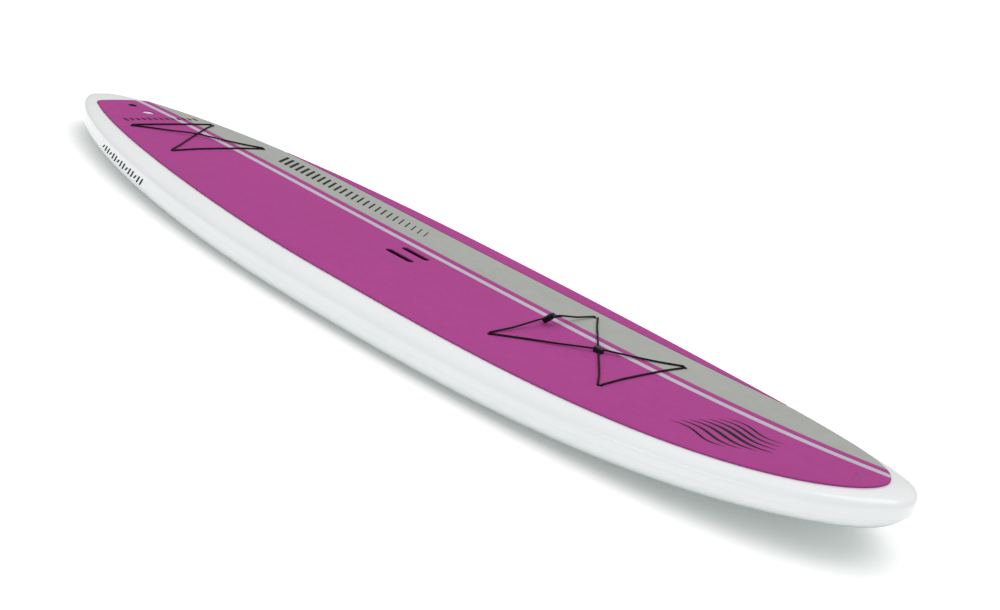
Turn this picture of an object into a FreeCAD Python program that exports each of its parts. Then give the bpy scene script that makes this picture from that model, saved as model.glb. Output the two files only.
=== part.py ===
import FreeCAD, Part
import math
import os
import Sketcher
from FreeCAD import Placement, Rotation, Vector

# Rigid touring paddleboard, 10 ft 6 in x 32 in x 4.7 in.
# Row frame: +X to the nose, +Y to port, +Z up, origin under the middle of the bottom. Millimetres.

doc = FreeCAD.newDocument("Paddleboard")

SIZE_ROWS = [
    ("board_length", 3200, "nose to tail"),
    ("board_width", 813, "widest point"),
    ("board_thickness", 120, "middle of the board"),
    ("nose_thickness", 76, "at the nose before it rounds off"),
    ("tail_thickness", 50, "at the tail before it rounds off"),
    ("widest_x", -23, "where the outline is widest"),
    ("nose_power", 2.5, "outline fullness towards the nose"),
    ("nose_round", 0.5, "outline roundness at the nose"),
    ("tail_power", 1.93, "outline fullness towards the tail"),
    ("tail_round", 0.58, "outline roundness at the tail"),
    ("nose_rocker", 104, "lift of the bottom at the nose"),
    ("nose_rocker_power", 3.7, "how late the nose lifts"),
    ("nose_rocker_start", -100, "where the nose starts to lift"),
    ("tail_rocker", 60, "lift of the bottom at the tail"),
    ("tail_rocker_power", 2.3, "how late the tail lifts"),
    ("tip_round", 18, "rounding length of both tips in side view"),
    ("rail_height", 0.46, "rail line, share of the thickness"),
    ("deck_fullness", 0.45, "how far the deck carries out to the rail"),
    ("deck_crown", 0.28, "how square the deck meets the rail"),
    ("bottom_fullness", 0.5, "the same for the bottom, which is flat"),
    ("skin", 3, "laminate thickness"),
    ("bond", 0.2, "glue line between skin and foam"),
    ("stringer_width", 6, "wooden spine"),
    ("pad_thickness", 5, "deck pad foam"),
    ("pad_half_width", 344, "half width of the deck pad"),
    ("pad_nose_x", 1529, "front end of the deck pad"),
    ("pad_tail_x", -1454, "straight back edge of the deck pad"),
    ("pad_tail_virtual_x", -1560, "where its sides would close"),
    ("pad_nose_power", 2.9, "pad outline towards the nose"),
    ("pad_nose_round", 0.51, "pad outline at the nose"),
    ("pad_tail_power", 1.8, "pad outline towards the tail"),
    ("pad_tail_round", 0.6, "pad outline at the tail"),
    ("pad_corner", 24, "back corners of the deck pad"),
    ("pinstripe_from", 49, "pale pinstripe, starboard edge"),
    ("thin_stripe_from", 72, "thin coloured stripe, starboard edge"),
    ("band_from", 98, "grey band, starboard edge"),
    ("band_to", 262, "grey band, port edge"),
    ("pad_joint", 0.8, "groove between touching pad panels"),
    ("pad_groove", 4.5, "wide groove beside the grey band"),
    ("handle_x", 6, "carry handle centre"),
    ("handle_y", -20, "carry handle centre"),
    ("handle_slot_length", 106, "finger slot"),
    ("handle_slot_width", 24, "finger slot"),
    ("handle_slot_offset", 31, "slot centre to handle centre"),
    ("handle_tub_length", 146, "outside"),
    ("handle_tub_width", 116, "outside"),
    ("handle_tub_depth", 54, "outside, below the deck skin"),
    ("handle_wall", 3, "tub wall"),
    ("handle_bar_depth", 15, "grip bar"),
    ("handle_lip", 10, "glued lip around the tub"),
    ("handle_drop", 1.2, "tub lip below the deck"),
    ("handle_corner", 14, "upright corners of the tub"),
    ("insert_radius", 9, "bungee insert body"),
    ("insert_depth", 18, "bungee insert body"),
    ("insert_flange_radius", 12, "bungee insert flange"),
    ("insert_flange", 2.4, "bungee insert flange thickness"),
    ("insert_sink", 0.3, "flange top below the deck skin's top"),
    ("insert_well_radius", 7, "cord well"),
    ("insert_well_depth", 15.5, "cord well"),
    ("insert_pin_radius", 1.5, "cross pin"),
    ("insert_pin_depth", 6.5, "cross pin axis below the flange"),
    ("insert_pin_half", 8.4, "half length of the cross pin"),
    ("cord_radius", 2.5, "shock cord"),
    ("cord_bend", 4.2, "shock cord centre line round the pin"),
    ("cord_lift", 3.2, "cord centre line above the pad"),
    ("nose_aft_x", 519, "aft pair of nose bungee inserts"),
    ("nose_aft_y", 212, "half spacing"),
    ("nose_fore_x", 852, "forward pair"),
    ("nose_fore_y", 174, "half spacing"),
    ("tail_aft_x", -1158, "aft pair of tail bungee inserts"),
    ("tail_aft_y", 157, "half spacing"),
    ("tail_fore_x", -904, "forward pair"),
    ("tail_fore_y", 177, "half spacing"),
    ("lock_radius", 8.5, "cord lock barrel"),
    ("lock_length", 30, "cord lock barrel"),
    ("lock_bore", 5.6, "bore for the plunger"),
    ("lock_floor", 3, "closed end of the barrel"),
    ("lock_hole", 2.9, "cord hole radius"),
    ("lock_hole_low", 13.5, "lower cord hole above the barrel floor"),
    ("lock_hole_high", 22.5, "upper cord hole above the barrel floor"),
    ("lock_y", 4, "where the lock sits on its run"),
    ("lock_height", 18, "barrel middle above the pad"),
    ("lock_tilt", 45, "barrel leans to the nose"),
    ("button_travel", 4, "plunger travel"),
    ("button_top", 8.5, "button above the barrel at rest"),
    ("button_radius", 6.8, "button cap"),
    ("button_cap", 4.2, "button cap height"),
    ("plunger_radius", 5.5, "plunger stem"),
    ("plunger_foot", 8.6, "plunger foot above the barrel floor"),
    ("spring_radius", 3.4, "spring coil, centre line"),
    ("spring_wire", 0.45, "spring wire radius"),
    ("spring_gap", 0.5, "spring end to wall, centre line"),
    ("clip_length", 26, "crossing clip"),
    ("clip_width", 18, "crossing clip"),
    ("clip_height", 13, "crossing clip"),
    ("leash_x", -1385, "leash plug"),
    ("leash_y", -6, "leash plug"),
    ("leash_radius", 12.8, "leash cup outside"),
    ("leash_depth", 27, "leash cup outside"),
    ("leash_well_radius", 11, "leash cup well"),
    ("leash_well_depth", 24.5, "leash cup well"),
    ("leash_bezel_radius", 14.4, "black ring"),
    ("leash_bezel", 0.8, "ring above the pad"),
    ("leash_pin_radius", 2.5, "leash bar"),
    ("leash_pin_half", 11.9, "half length of the leash bar"),
    ("leash_pin_depth", 2, "bar axis below the deck skin"),
    ("vent_x", -1302, "air vent"),
    ("vent_y", 0, "air vent"),
    ("vent_radius", 19, "vent flange"),
    ("vent_stem_radius", 9, "vent body"),
    ("vent_depth", 20, "vent body below the deck skin"),
    ("vent_top", 1.6, "vent flange above the deck skin"),
    ("vent_bore", 4.05, "vent screw bore"),
    ("vent_screw_radius", 4, "vent screw"),
    ("vent_head_radius", 8, "vent screw head"),
    ("plug_x", 1471, "nose accessory plug"),
    ("plug_y", 0, "nose accessory plug"),
    ("plug_radius", 13, "nose plug flange"),
    ("plug_stem_radius", 8.5, "nose plug body"),
    ("plug_depth", 20, "nose plug body below the deck skin"),
    ("plug_bore", 4.05, "nose plug bore"),
    ("plug_cap_radius", 9.5, "nose plug cap"),
    ("fin_x", -1235, "fin box middle"),
    ("fin_box_length", 272, "fin box outside"),
    ("fin_box_width", 30, "fin box outside"),
    ("fin_box_depth", 30, "fin box outside"),
    ("fin_channel_length", 254, "fin slot"),
    ("fin_channel_width", 9.8, "fin slot"),
    ("fin_channel_depth", 26, "fin slot"),
    ("fin_groove_width", 16, "groove for the nut plate"),
    ("fin_groove_from", 9, "groove above the slot's mouth"),
    ("fin_groove_height", 4.6, "groove for the nut plate"),
    ("fin_entry_radius", 8, "where the nut plate goes in"),
    ("fin_sink", 0.4, "fin box face inside the bottom's surface"),
    ("fin_plate_length", 13, "nut plate"),
    ("fin_plate_width", 15.2, "nut plate"),
    ("fin_plate_thickness", 3.6, "nut plate"),
    ("fin_plate_x", 62, "nut plate from the fin box middle"),
    ("fin_screw_radius", 1.95, "M4 screw"),
    ("fin_screw_bore", 2, "M4 thread in the plate"),
    ("fin_screw_half", 6.5, "half length of the screw"),
    ("fin_head_radius", 3.9, "screw head"),
    ("fin_head_height", 2.6, "screw head"),
]

sizes = doc.addObject("Spreadsheet::Sheet", "Sizes")
for row, (alias, value, meaning) in enumerate(SIZE_ROWS, start=1):
    sizes.set(f"A{row}", meaning)
    sizes.set(f"B{row}", str(value))
    sizes.setAlias(f"B{row}", alias)
doc.recompute()


def size(alias):
    return float(sizes.get(alias))


def terms(expression):
    """Signed terms of a sum of aliases and plain numbers."""
    for term in expression.replace("-", "+-").split("+"):
        term = term.strip()
        if term:
            yield (-1 if term[0] == "-" else 1), term.lstrip("- ")


def amount(expression):
    """Value of a sum of aliases and numbers; a term may be divided, as in board_width/2."""
    total = 0.0
    for sign, term in terms(expression):
        word, _, divisor = term.partition("/")
        value = float(word) if word[0].isdigit() else size(word)
        total += sign * value / float(divisor or 1)
    return total


def bound(expression):
    """The same sum as FreeCAD writes it, on the sheet's cells."""
    text = ""
    for sign, term in terms(expression):
        text += ("-" if sign < 0 else "+") + (term if term[0].isdigit() else "Sizes." + term)
    return text.lstrip("+")


def minus(expression):
    """The negative of such a sum."""
    return "".join(("+" if sign < 0 else "-") + term for sign, term in terms(expression))


def bind(thing, prop, expression):
    thing.setExpression(prop, bound(expression))


# ---------------------------------------------------------------- board surface

HALF = size("board_length") / 2
BEAM = size("board_width") / 2


def share(x, start, end):
    """How far x lies between start and end, kept between 0 and 1."""
    return min(1.0, max(0.0, (x - start) / (end - start)))


def outline(x):
    """Half width of the board."""
    widest = size("widest_x")
    if x >= widest:
        return BEAM * (1 - share(x, widest, HALF) ** size("nose_power")) ** size("nose_round")
    return BEAM * (1 - share(x, widest, -HALF) ** size("tail_power")) ** size("tail_round")


def bottom_height(x):
    lift = size("nose_rocker") * share(x, size("nose_rocker_start"), HALF) ** size("nose_rocker_power")
    return lift + size("tail_rocker") * share(x, 0, -HALF) ** size("tail_rocker_power")


def thickness(x):
    middle = size("board_thickness")
    taper = (middle - size("nose_thickness")) * share(x, 0, HALF) ** 3
    return middle - taper - (middle - size("tail_thickness")) * share(x, 0, -HALF) ** 3


def section(x, angle, inset=0.0):
    """A point of the cross section at x: angle 0 is the port rail, 90 the deck, 270 the bottom.

    A positive inset gives the inside of a skin, a negative one the outside of a pad."""
    reach = HALF - inset
    full_x = x * HALF / reach
    closing = math.sqrt(1 - math.exp(-(HALF - abs(full_x)) / size("tip_round")))
    tall = thickness(full_x)
    rail = bottom_height(full_x) + size("rail_height") * tall
    cosine, sine = math.cos(angle), math.sin(angle)
    if sine >= 0:
        fullness, crown = size("deck_fullness"), size("deck_crown")
        height = (1 - size("rail_height")) * tall - inset
    else:
        fullness = crown = size("bottom_fullness")
        height = size("rail_height") * tall - inset
    width = outline(full_x) * (1 - inset / BEAM)
    y = width * cosine * (1 + fullness * sine ** 2)
    z = rail + height * closing * sine * (1 + crown * cosine ** 2)
    return Vector(x, y, z)


def angle_at(x, y):
    """Section angle of the deck point at y, found by halving."""
    low, high = 0.0, math.pi / 2
    for _ in range(40):
        middle = (low + high) / 2
        if section(x, middle).y > abs(y):
            low = middle
        else:
            high = middle
    return low if y >= 0 else math.pi - low


def deck(x, y):
    """Point of the deck skin's top."""
    return section(x, angle_at(x, y))


def floor(x, y):
    """Point of the bottom skin's outside, near the centre line."""
    width = outline(x) * (1 + size("bottom_fullness"))
    return section(x, math.pi * 1.5 + math.asin(y / width))


def standing_on(surface, x, y, spin=0.0):
    """Placement with +Z along the surface's upward normal and local X turned by spin degrees."""
    step = 4.0
    along = surface(x + step, y) - surface(x - step, y)
    across = surface(x, y + step) - surface(x, y - step)
    normal = along.cross(across)
    normal.normalize()
    tilt = Rotation(Vector(0, 0, 1), normal)
    return Placement(surface(x, y), tilt.multiply(Rotation(Vector(0, 0, 1), spin)))


STATIONS = 34
POINTS = 13
TIP_ANGLE = math.radians(88.4)


def half_section(x, inset, upper):
    """Spline over the deck or under the bottom, from the port rail to the starboard rail."""
    turn = math.pi if upper else -math.pi
    knots = [i / (POINTS - 1) for i in range(POINTS)]
    curve = Part.BSplineCurve()
    curve.interpolate(Points=[section(x, turn * k, inset) for k in knots], Parameters=knots)
    return curve.toShape()


def hull(inset=0.0):
    """Board-shaped solid, or the inside of its skins, or the outside of a layer on it."""
    reach = HALF - inset
    wires = []
    for i in range(STATIONS):
        x = reach * math.sin(TIP_ANGLE * (2 * i / (STATIONS - 1) - 1))
        wires.append(Part.Wire([half_section(x, inset, True), half_section(x, inset, False)]))
    return Part.makeLoft(wires, True, False)


SKY = 400.0
JOINT_DROP = 5.0


def above_joint():
    """Everything above the joint of the two skins, which runs just below the rail's widest line."""
    count = 15
    line = []
    for i in range(count):
        x = HALF * 1.02 * (2 * i / (count - 1) - 1)
        inner = max(-HALF, min(HALF, x))
        line.append(Vector(x, 0, bottom_height(inner) + size("rail_height") * thickness(inner) - JOINT_DROP))
    curve = Part.BSplineCurve()
    curve.interpolate(line)
    last, first = Vector(line[-1].x, 0, SKY), Vector(line[0].x, 0, SKY)
    edges = [curve.toShape(), Part.makeLine(line[-1], last), Part.makeLine(last, first),
             Part.makeLine(first, line[0])]
    space = Part.Face(Part.Wire(edges)).extrude(Vector(0, 4 * BEAM, 0))
    space.translate(Vector(0, -2 * BEAM, 0))
    return space


def made(label, shape, placement=None):
    """A Part::Feature with a shape built from the sheet's sizes."""
    feature = doc.addObject("Part::Feature", label)
    feature.Label = label
    feature.Shape = shape
    if placement is not None:
        feature.Placement = placement
    return feature


def placed(shape, placement):
    copy = shape.copy()
    copy.Placement = placement.multiply(copy.Placement)
    return copy


def cylinder(radius, low, high):
    return Part.makeCylinder(radius, high - low, Vector(0, 0, low))


def rounded_block(length, width, low, high, radius):
    """Box centred on local Z with its upright corners rounded."""
    shape = Part.makeBox(length, width, high - low, Vector(-length / 2, -width / 2, low))
    return shape.makeFillet(radius, [e for e in shape.Edges if abs(e.tangentAt(e.FirstParameter).z) > 0.9])


# ---------------------------------------------------------------- PartDesign and Part helpers

def origin_plane(body, role):
    return next(f for f in body.Origin.OriginFeatures if f.Role == role)


def new_body(label):
    body = doc.addObject("PartDesign::Body", label)
    body.Label = label
    return body


def new_sketch(body, role, name, height="0"):
    """Sketch on one of the body's own planes, lifted along that plane's normal."""
    sketch = body.newObject("Sketcher::SketchObject", name)
    sketch.AttachmentSupport = [(origin_plane(body, role), "")]
    sketch.MapMode = "FlatFace"
    sketch.AttachmentOffset = Placement(Vector(0, 0, amount(height)), Rotation())
    bind(sketch, "AttachmentOffset.Base.z", height)
    return sketch


def pin_down(sketch, kind, geometry, vertex, expression):
    """Distance of a vertex from the sketch's origin, bound to the sheet."""
    value = amount(expression)
    index = sketch.addConstraint(Sketcher.Constraint(kind, geometry, vertex, value))
    sketch.setExpression(f"Constraints[{index}]", bound(expression))


def closed_outline(sketch, corners):
    """Polygon whose corners are (across, up) pairs of bound sums."""
    spots = [Vector(amount(a), amount(b), 0) for a, b in corners]
    count = len(spots)
    for i in range(count):
        sketch.addGeometry(Part.LineSegment(spots[i], spots[(i + 1) % count]), False)
    for i in range(count):
        sketch.addConstraint(Sketcher.Constraint("Coincident", i, 2, (i + 1) % count, 1))
    for i, (across, up) in enumerate(corners):
        pin_down(sketch, "DistanceX", i, 1, across)
        pin_down(sketch, "DistanceY", i, 1, up)


def turned(label, corners):
    """Body turned about its Z axis from a profile of (radius, height) corners."""
    body = new_body(label)
    sketch = new_sketch(body, "XZ_Plane", label + "_profile")
    closed_outline(sketch, corners)
    turn = body.newObject("PartDesign::Revolution", label + "_turn")
    turn.Profile = sketch
    turn.ReferenceAxis = (sketch, ["V_Axis"])
    turn.Angle = 360
    body.Tip = turn
    return body


def round_edges(body, name, wanted, radius):
    """Fillet on the edges of the body's tip that the test wants."""
    doc.recompute()
    base = body.Tip
    edges = [f"Edge{i}" for i, edge in enumerate(base.Shape.Edges, start=1) if wanted(edge)]
    fillet = body.newObject("PartDesign::Fillet", name)
    fillet.Base = (base, edges)
    bind(fillet, "Radius", radius)
    body.Tip = fillet


def upright(edge):
    return abs(edge.tangentAt(edge.FirstParameter).z) > 0.9


def at_height(height):
    """Test for edges that lie level at a height."""
    return lambda edge: abs(edge.BoundBox.ZMin - height) < 0.01 and abs(edge.BoundBox.ZMax - height) < 0.01


def slab(label, half_x, half_y, low, high, corner=None):
    """Body: a rectangle centred on Z, from low to high, with its upright corners rounded."""
    body = new_body(label)
    sketch = new_sketch(body, "XY_Plane", label + "_outline", low)
    back, right = minus(half_x), minus(half_y)
    closed_outline(sketch, [(back, right), (half_x, right), (half_x, half_y), (back, half_y)])
    pad = body.newObject("PartDesign::Pad", label + "_pad")
    pad.Profile = sketch
    bind(pad, "Length", high + minus(low))
    body.Tip = pad
    if corner:
        round_edges(body, label + "_corners", upright, corner)
    return body


TO_LOCAL_Y = Rotation(Vector(1, 0, 0), -90)


def across(label, radius, half_length, depth):
    """Cylinder along local Y, its axis at a depth below local Z 0."""
    rod = doc.addObject("Part::Cylinder", label)
    rod.Label = label
    bind(rod, "Radius", radius)
    bind(rod, "Height", half_length + "+" + half_length)
    rod.Placement = Placement(Vector(0, -amount(half_length), -amount(depth)), TO_LOCAL_Y)
    return rod


def upright_rod(label, radius, low, high):
    rod = doc.addObject("Part::Cylinder", label)
    rod.Label = label
    bind(rod, "Radius", radius)
    bind(rod, "Height", high + minus(low))
    rod.Placement = Placement(Vector(0, 0, amount(low)), Rotation())
    return rod


def centred_box(label, length, width, low, high):
    box = doc.addObject("Part::Box", label)
    box.Label = label
    bind(box, "Length", length)
    bind(box, "Width", width)
    bind(box, "Height", high + minus(low))
    box.Placement = Placement(Vector(-amount(length) / 2, -amount(width) / 2, amount(low)), Rotation())
    return box


def fused(label, *pieces):
    joined = doc.addObject("Part::MultiFuse", label)
    joined.Label = label
    joined.Shapes = list(pieces)
    joined.Refine = True
    return joined


def cut(label, base, *tools, place=None):
    """Base less its tools, in the base's local frame, then placed."""
    result = doc.addObject("Part::Cut", label)
    result.Label = label
    result.Base = base
    result.Tool = tools[0] if len(tools) == 1 else fused(label + "_tools", *tools)
    if place:
        result.Placement = place
    return result


def together(label, pieces):
    group = doc.addObject("Part::Compound", label)
    group.Label = label
    group.Links = pieces
    return group


# ---------------------------------------------------------------- bungee inserts

class Anchor:
    """One bungee insert: where it is, and which way its pin lies between its two strands."""

    def __init__(self, x, y):
        self.x, self.y = x, y

    def aim(self, before, after):
        """Turn the pin to lie between the directions of the strands that come and go."""
        came = Vector(before.x - self.x, before.y - self.y, 0)
        goes = Vector(after.x - self.x, after.y - self.y, 0)
        came.normalize()
        goes.normalize()
        between = came + goes
        between.normalize()
        spin = math.degrees(math.atan2(between.y, between.x)) - 90
        sink = Placement(Vector(0, 0, -size("insert_sink")), Rotation())
        self.placement = standing_on(deck, self.x, self.y, spin).multiply(sink)
        side = self.placement.Rotation.multVec(Vector(1, 0, 0))
        self.side = side if side.dot(came) > 0 else side * -1
        self.up = self.placement.Rotation.multVec(Vector(0, 0, 1))

    def spot(self, sideways, height):
        return self.placement.Base + self.side * sideways + self.up * height


def bungee_anchors(prefix):
    """The loop's order: aft starboard, aft port, fore starboard, fore port."""
    aft_x, aft_y = size(prefix + "_aft_x"), size(prefix + "_aft_y")
    fore_x, fore_y = size(prefix + "_fore_x"), size(prefix + "_fore_y")
    loop = [Anchor(aft_x, -aft_y), Anchor(aft_x, aft_y), Anchor(fore_x, -fore_y), Anchor(fore_x, fore_y)]
    for i, anchor in enumerate(loop):
        anchor.aim(loop[i - 1], loop[(i + 1) % 4])
    return loop


INSERT_PROFILE = [
    ("0", "-insert_depth"), ("insert_radius", "-insert_depth"), ("insert_radius", "-insert_flange"),
    ("insert_flange_radius", "-insert_flange"), ("insert_flange_radius", "0"), ("insert_well_radius", "0"),
    ("insert_well_radius", "-insert_well_depth"), ("0", "-insert_well_depth")]


def bungee_inserts(prefix, loop):
    """Four moulded inserts and their cross pins, as two nodes."""
    inserts, pins = [], []
    for number, anchor in enumerate(loop, start=1):
        name = f"{prefix}_insert_{number}"
        body = turned(name + "_body", INSERT_PROFILE)
        hole = across(name + "_pin_hole", "insert_pin_radius+0.05", "insert_pin_half", "insert_pin_depth")
        inserts.append(cut(name, body, hole, place=anchor.placement))
        pin = across(name + "_pin", "insert_pin_radius", "insert_pin_half", "insert_pin_depth")
        pin.Placement = anchor.placement.multiply(pin.Placement)
        pins.append(pin)
    together(prefix + "_bungee_inserts", inserts)
    together(prefix + "_bungee_pins", pins)


nose_loop = bungee_anchors("nose")
tail_loop = bungee_anchors("tail")
bungee_inserts("nose", nose_loop)
bungee_inserts("tail", tail_loop)


# ---------------------------------------------------------------- shock cords

PAD = size("pad_thickness")


def above_pad(x, y, height):
    return deck(x, y) + Vector(0, 0, PAD + height)


STRAIGHT = 1e-4
TIGHT = 10.0


def tube_along(points, radius, bends):
    """Round tube along straight runs joined by tangent arcs; bends gives each inner point's radius."""
    edges = []
    start = points[0]
    for before, corner, after, bend in zip(points, points[1:], points[2:], bends):
        into = (corner - before).normalize()
        out = (after - corner).normalize()
        half_turn = into.getAngle(out) / 2
        if half_turn < STRAIGHT:
            continue
        shorter = min((corner - before).Length, (after - corner).Length)
        bend = min(bend, 0.45 * shorter / math.tan(half_turn)) if bend > TIGHT else bend
        reach = bend * math.tan(half_turn)
        first, last = corner - into * reach, corner + out * reach
        inward = (out - into).normalize()
        middle = corner + inward * (bend / math.cos(half_turn) - bend)
        edges.append(Part.LineSegment(start, first).toShape())
        edges.append(Part.Arc(first, middle, last).toShape())
        start = last
    edges.append(Part.LineSegment(start, points[-1]).toShape())
    path = Part.Wire(edges)
    heading = (points[1] - points[0]).normalize()
    ring = Part.Wire(Part.makeCircle(radius, points[0], heading))
    tube = path.makePipeShell([ring], True, False)
    share_kept = tube.Volume / (math.pi * radius ** 2 * path.Length)
    print(f"cord length {path.Length:.0f} mm, tube volume over section times length {share_kept:.4f}")
    return tube


RIM_BEND = 3.6
NEARLY = 0.01


def down_and_under(anchor):
    """Corners of the cord's dip: over the rim, down one side of the pin, under it and up."""
    bend = size("cord_bend")
    low = -size("insert_pin_depth") - bend
    high = PAD + size("cord_lift")
    spots = [anchor.spot(bend, high), anchor.spot(bend, low), anchor.spot(-bend, low), anchor.spot(-bend, high)]
    return spots, [RIM_BEND, bend - NEARLY, bend - NEARLY, RIM_BEND]


def between(a, b, t):
    return a.x + (b.x - a.x) * t, a.y + (b.y - a.y) * t


def resting(a, b, shares, height):
    """Cord points on the pad between two anchors, at the given shares of the way."""
    return [above_pad(*between(a, b, t), height) for t in shares]


def crossing_share(a, b, c, d):
    """Share of the way from a to b where the line c to d crosses it."""
    turn = (b.x - a.x) * (d.y - c.y) - (b.y - a.y) * (d.x - c.x)
    return ((c.x - a.x) * (d.y - c.y) - (c.y - a.y) * (d.x - c.x)) / turn


LIE = size("cord_lift")
GENTLE = 120.0
HOP = 2 * size("cord_radius") + 0.4
CROSSING_FLAT = 18.0
HALFWAY_RISE = 0.3


def diagonal(a, b, c, d, height):
    """Cord points from a to b, at height above the pad where it meets the line c to d."""
    meet = crossing_share(a, b, c, d)
    flat = CROSSING_FLAT / math.hypot(b.x - a.x, b.y - a.y)
    halfway = LIE + (height - LIE) * HALFWAY_RISE
    points = resting(a, b, [meet * 0.3], LIE) + resting(a, b, [meet * 0.62], halfway)
    points += resting(a, b, [meet - flat, meet + flat], height)
    points += resting(a, b, [meet + (1 - meet) * 0.38], halfway) + resting(a, b, [meet + (1 - meet) * 0.7], LIE)
    return points, [GENTLE] * len(points)


def straight_across(a, b):
    """Cord points from a to b, low over the pad's crown."""
    points = resting(a, b, [0.25, 0.5, 0.75], LIE)
    return points, [GENTLE] * len(points)


JOIN_GAP = 0.8


def tail_cord_route():
    """Closed loop that starts and ends under the aft starboard pin, as a crimped join."""
    a, b, c, d = tail_loop
    under = -size("insert_pin_depth") - size("cord_bend")
    dip, bends = down_and_under(a)
    way, turns = straight_across(a, b)
    points = [a.spot(-JOIN_GAP, under)] + dip[2:] + way
    radii = bends[2:] + turns
    runs = [(b, diagonal(b, c, d, a, LIE)), (c, straight_across(c, d)),
            (d, diagonal(d, a, b, c, LIE + HOP))]
    for anchor, (way, turns) in runs:
        dip, bends = down_and_under(anchor)
        points += dip + way
        radii += bends + turns
    dip, bends = down_and_under(a)
    points += dip[:2] + [a.spot(JOIN_GAP, under)]
    radii += bends[:2]
    return points, radii


def lock_frame():
    """The lock's placement: barrel middle, local Z along the plunger, local Y across the board."""
    x, y = size("nose_aft_x"), size("lock_y")
    return Placement(above_pad(x, y, size("lock_height")), Rotation(Vector(0, 1, 0), size("lock_tilt")))


LOCK = lock_frame()
LOW_HOLE = "lock_length/2-lock_floor-lock_hole_low"
HIGH_HOLE = "lock_length/2-lock_floor-lock_hole_high"
LOCK_REACH = 34.0
FREE_END = 62.0
STOP_END = 14.0


def in_lock(hole, y):
    return LOCK.multVec(Vector(0, y, -amount(hole)))


def nose_cord_route():
    """Starts as the free end beside the lock and ends just through the lock's upper hole."""
    a, b, c, d = nose_loop
    points = [in_lock(LOW_HOLE, FREE_END), in_lock(LOW_HOLE, LOCK_REACH), in_lock(LOW_HOLE, -LOCK_REACH)]
    points += resting(b, a, [0.8], LIE + 4)
    radii = [GENTLE] * 3
    dip, bends = down_and_under(a)
    points += dip[::-1]
    radii += bends[::-1]
    runs = [(d, diagonal(a, d, b, c, LIE + HOP)), (c, straight_across(d, c)),
            (b, diagonal(c, b, d, a, LIE))]
    for anchor, (way, turns) in runs:
        dip, bends = down_and_under(anchor)
        points += way + dip[::-1]
        radii += turns + bends[::-1]
    points += resting(b, a, [0.2], LIE + 6)
    points += [in_lock(HIGH_HOLE, LOCK_REACH), in_lock(HIGH_HOLE, -STOP_END)]
    radii += [GENTLE, GENTLE]
    return points, radii


for label, (way, turns) in (("tail_bungee_cord", tail_cord_route()), ("nose_bungee_cord", nose_cord_route())):
    made(label, tube_along(way, size("cord_radius"), turns))


# ---------------------------------------------------------------- cord lock and crossing clip

def lock_barrel():
    """Barrel with a plunger bore and two cord holes across it, its rims chamfered."""
    end, rim = "lock_length/2", "1.2"
    floor_top = minus(end) + "+lock_floor"
    body = turned("cord_lock_barrel_body", [
        ("0", minus(end)), ("lock_radius-" + rim, minus(end)), ("lock_radius", minus(end) + "+" + rim),
        ("lock_radius", end + "-" + rim), ("lock_radius-" + rim, end), ("lock_bore", end),
        ("lock_bore", floor_top), ("0", floor_top)])
    holes = [across(f"cord_lock_barrel_hole_{i}", "lock_hole", "lock_radius+1", depth)
             for i, depth in enumerate((LOW_HOLE, HIGH_HOLE), start=1)]
    cut("cord_lock_barrel", body, *holes, place=LOCK)


def lock_button():
    """Button and stem in one; its two slots leave the cords room over the whole travel."""
    top = "lock_length/2+button_top"
    foot = "-lock_length/2+lock_floor+plunger_foot"
    shoulder = top + "-button_cap"
    rim = "1.8"
    body = turned("cord_lock_button_body", [
        ("0", foot), ("plunger_radius", foot), ("plunger_radius", shoulder), ("button_radius", shoulder),
        ("button_radius", top + "-" + rim), ("button_radius-" + rim, top), ("0", top)])
    room = "cord_radius+0.15"
    slots = []
    for i, depth in enumerate((LOW_HOLE, HIGH_HOLE), start=1):
        slots.append(across(f"cord_lock_slot_{i}_low", room, "lock_radius", depth))
        slots.append(across(f"cord_lock_slot_{i}_high", room, "lock_radius", depth + "-button_travel"))
        slots.append(centred_box(f"cord_lock_slot_{i}_side", room + "+" + room, "lock_radius+lock_radius",
                                 minus(depth), minus(depth) + "+button_travel"))
    cut("cord_lock_button", body, *slots, place=LOCK)


SPRING_TURNS = 4


def lock_spring():
    """Compression spring between the barrel's floor and the plunger's foot."""
    low = "-lock_length/2+lock_floor+spring_gap"
    height = "plunger_foot-spring_gap-spring_gap"
    helix = doc.addObject("Part::Helix", "spring_helix")
    bind(helix, "Height", height)
    bind(helix, "Pitch", f"plunger_foot/{SPRING_TURNS}-spring_gap/{SPRING_TURNS}-spring_gap/{SPRING_TURNS}")
    bind(helix, "Radius", "spring_radius")
    wire = doc.addObject("Part::Circle", "spring_wire_section")
    bind(wire, "Radius", "spring_wire")
    wire.Placement = Placement(Vector(size("spring_radius"), 0, 0), Rotation(Vector(1, 0, 0), 90))
    doc.recompute()
    spring = doc.addObject("Part::Sweep", "cord_lock_spring")
    spring.Label = "cord_lock_spring"
    spring.Sections = [wire]
    spring.Spine = (helix, [f"Edge{i + 1}" for i in range(len(helix.Shape.Edges))])
    spring.Solid = True
    spring.Frenet = True
    spring.Placement = LOCK.multiply(Placement(Vector(0, 0, amount(low)), Rotation()))


lock_barrel()
lock_button()
lock_spring()

CLIP_SEAT = 0.3
CLIP_HOLE = "cord_radius+0.25"
SLOPE_STEP = 20.0


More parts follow.
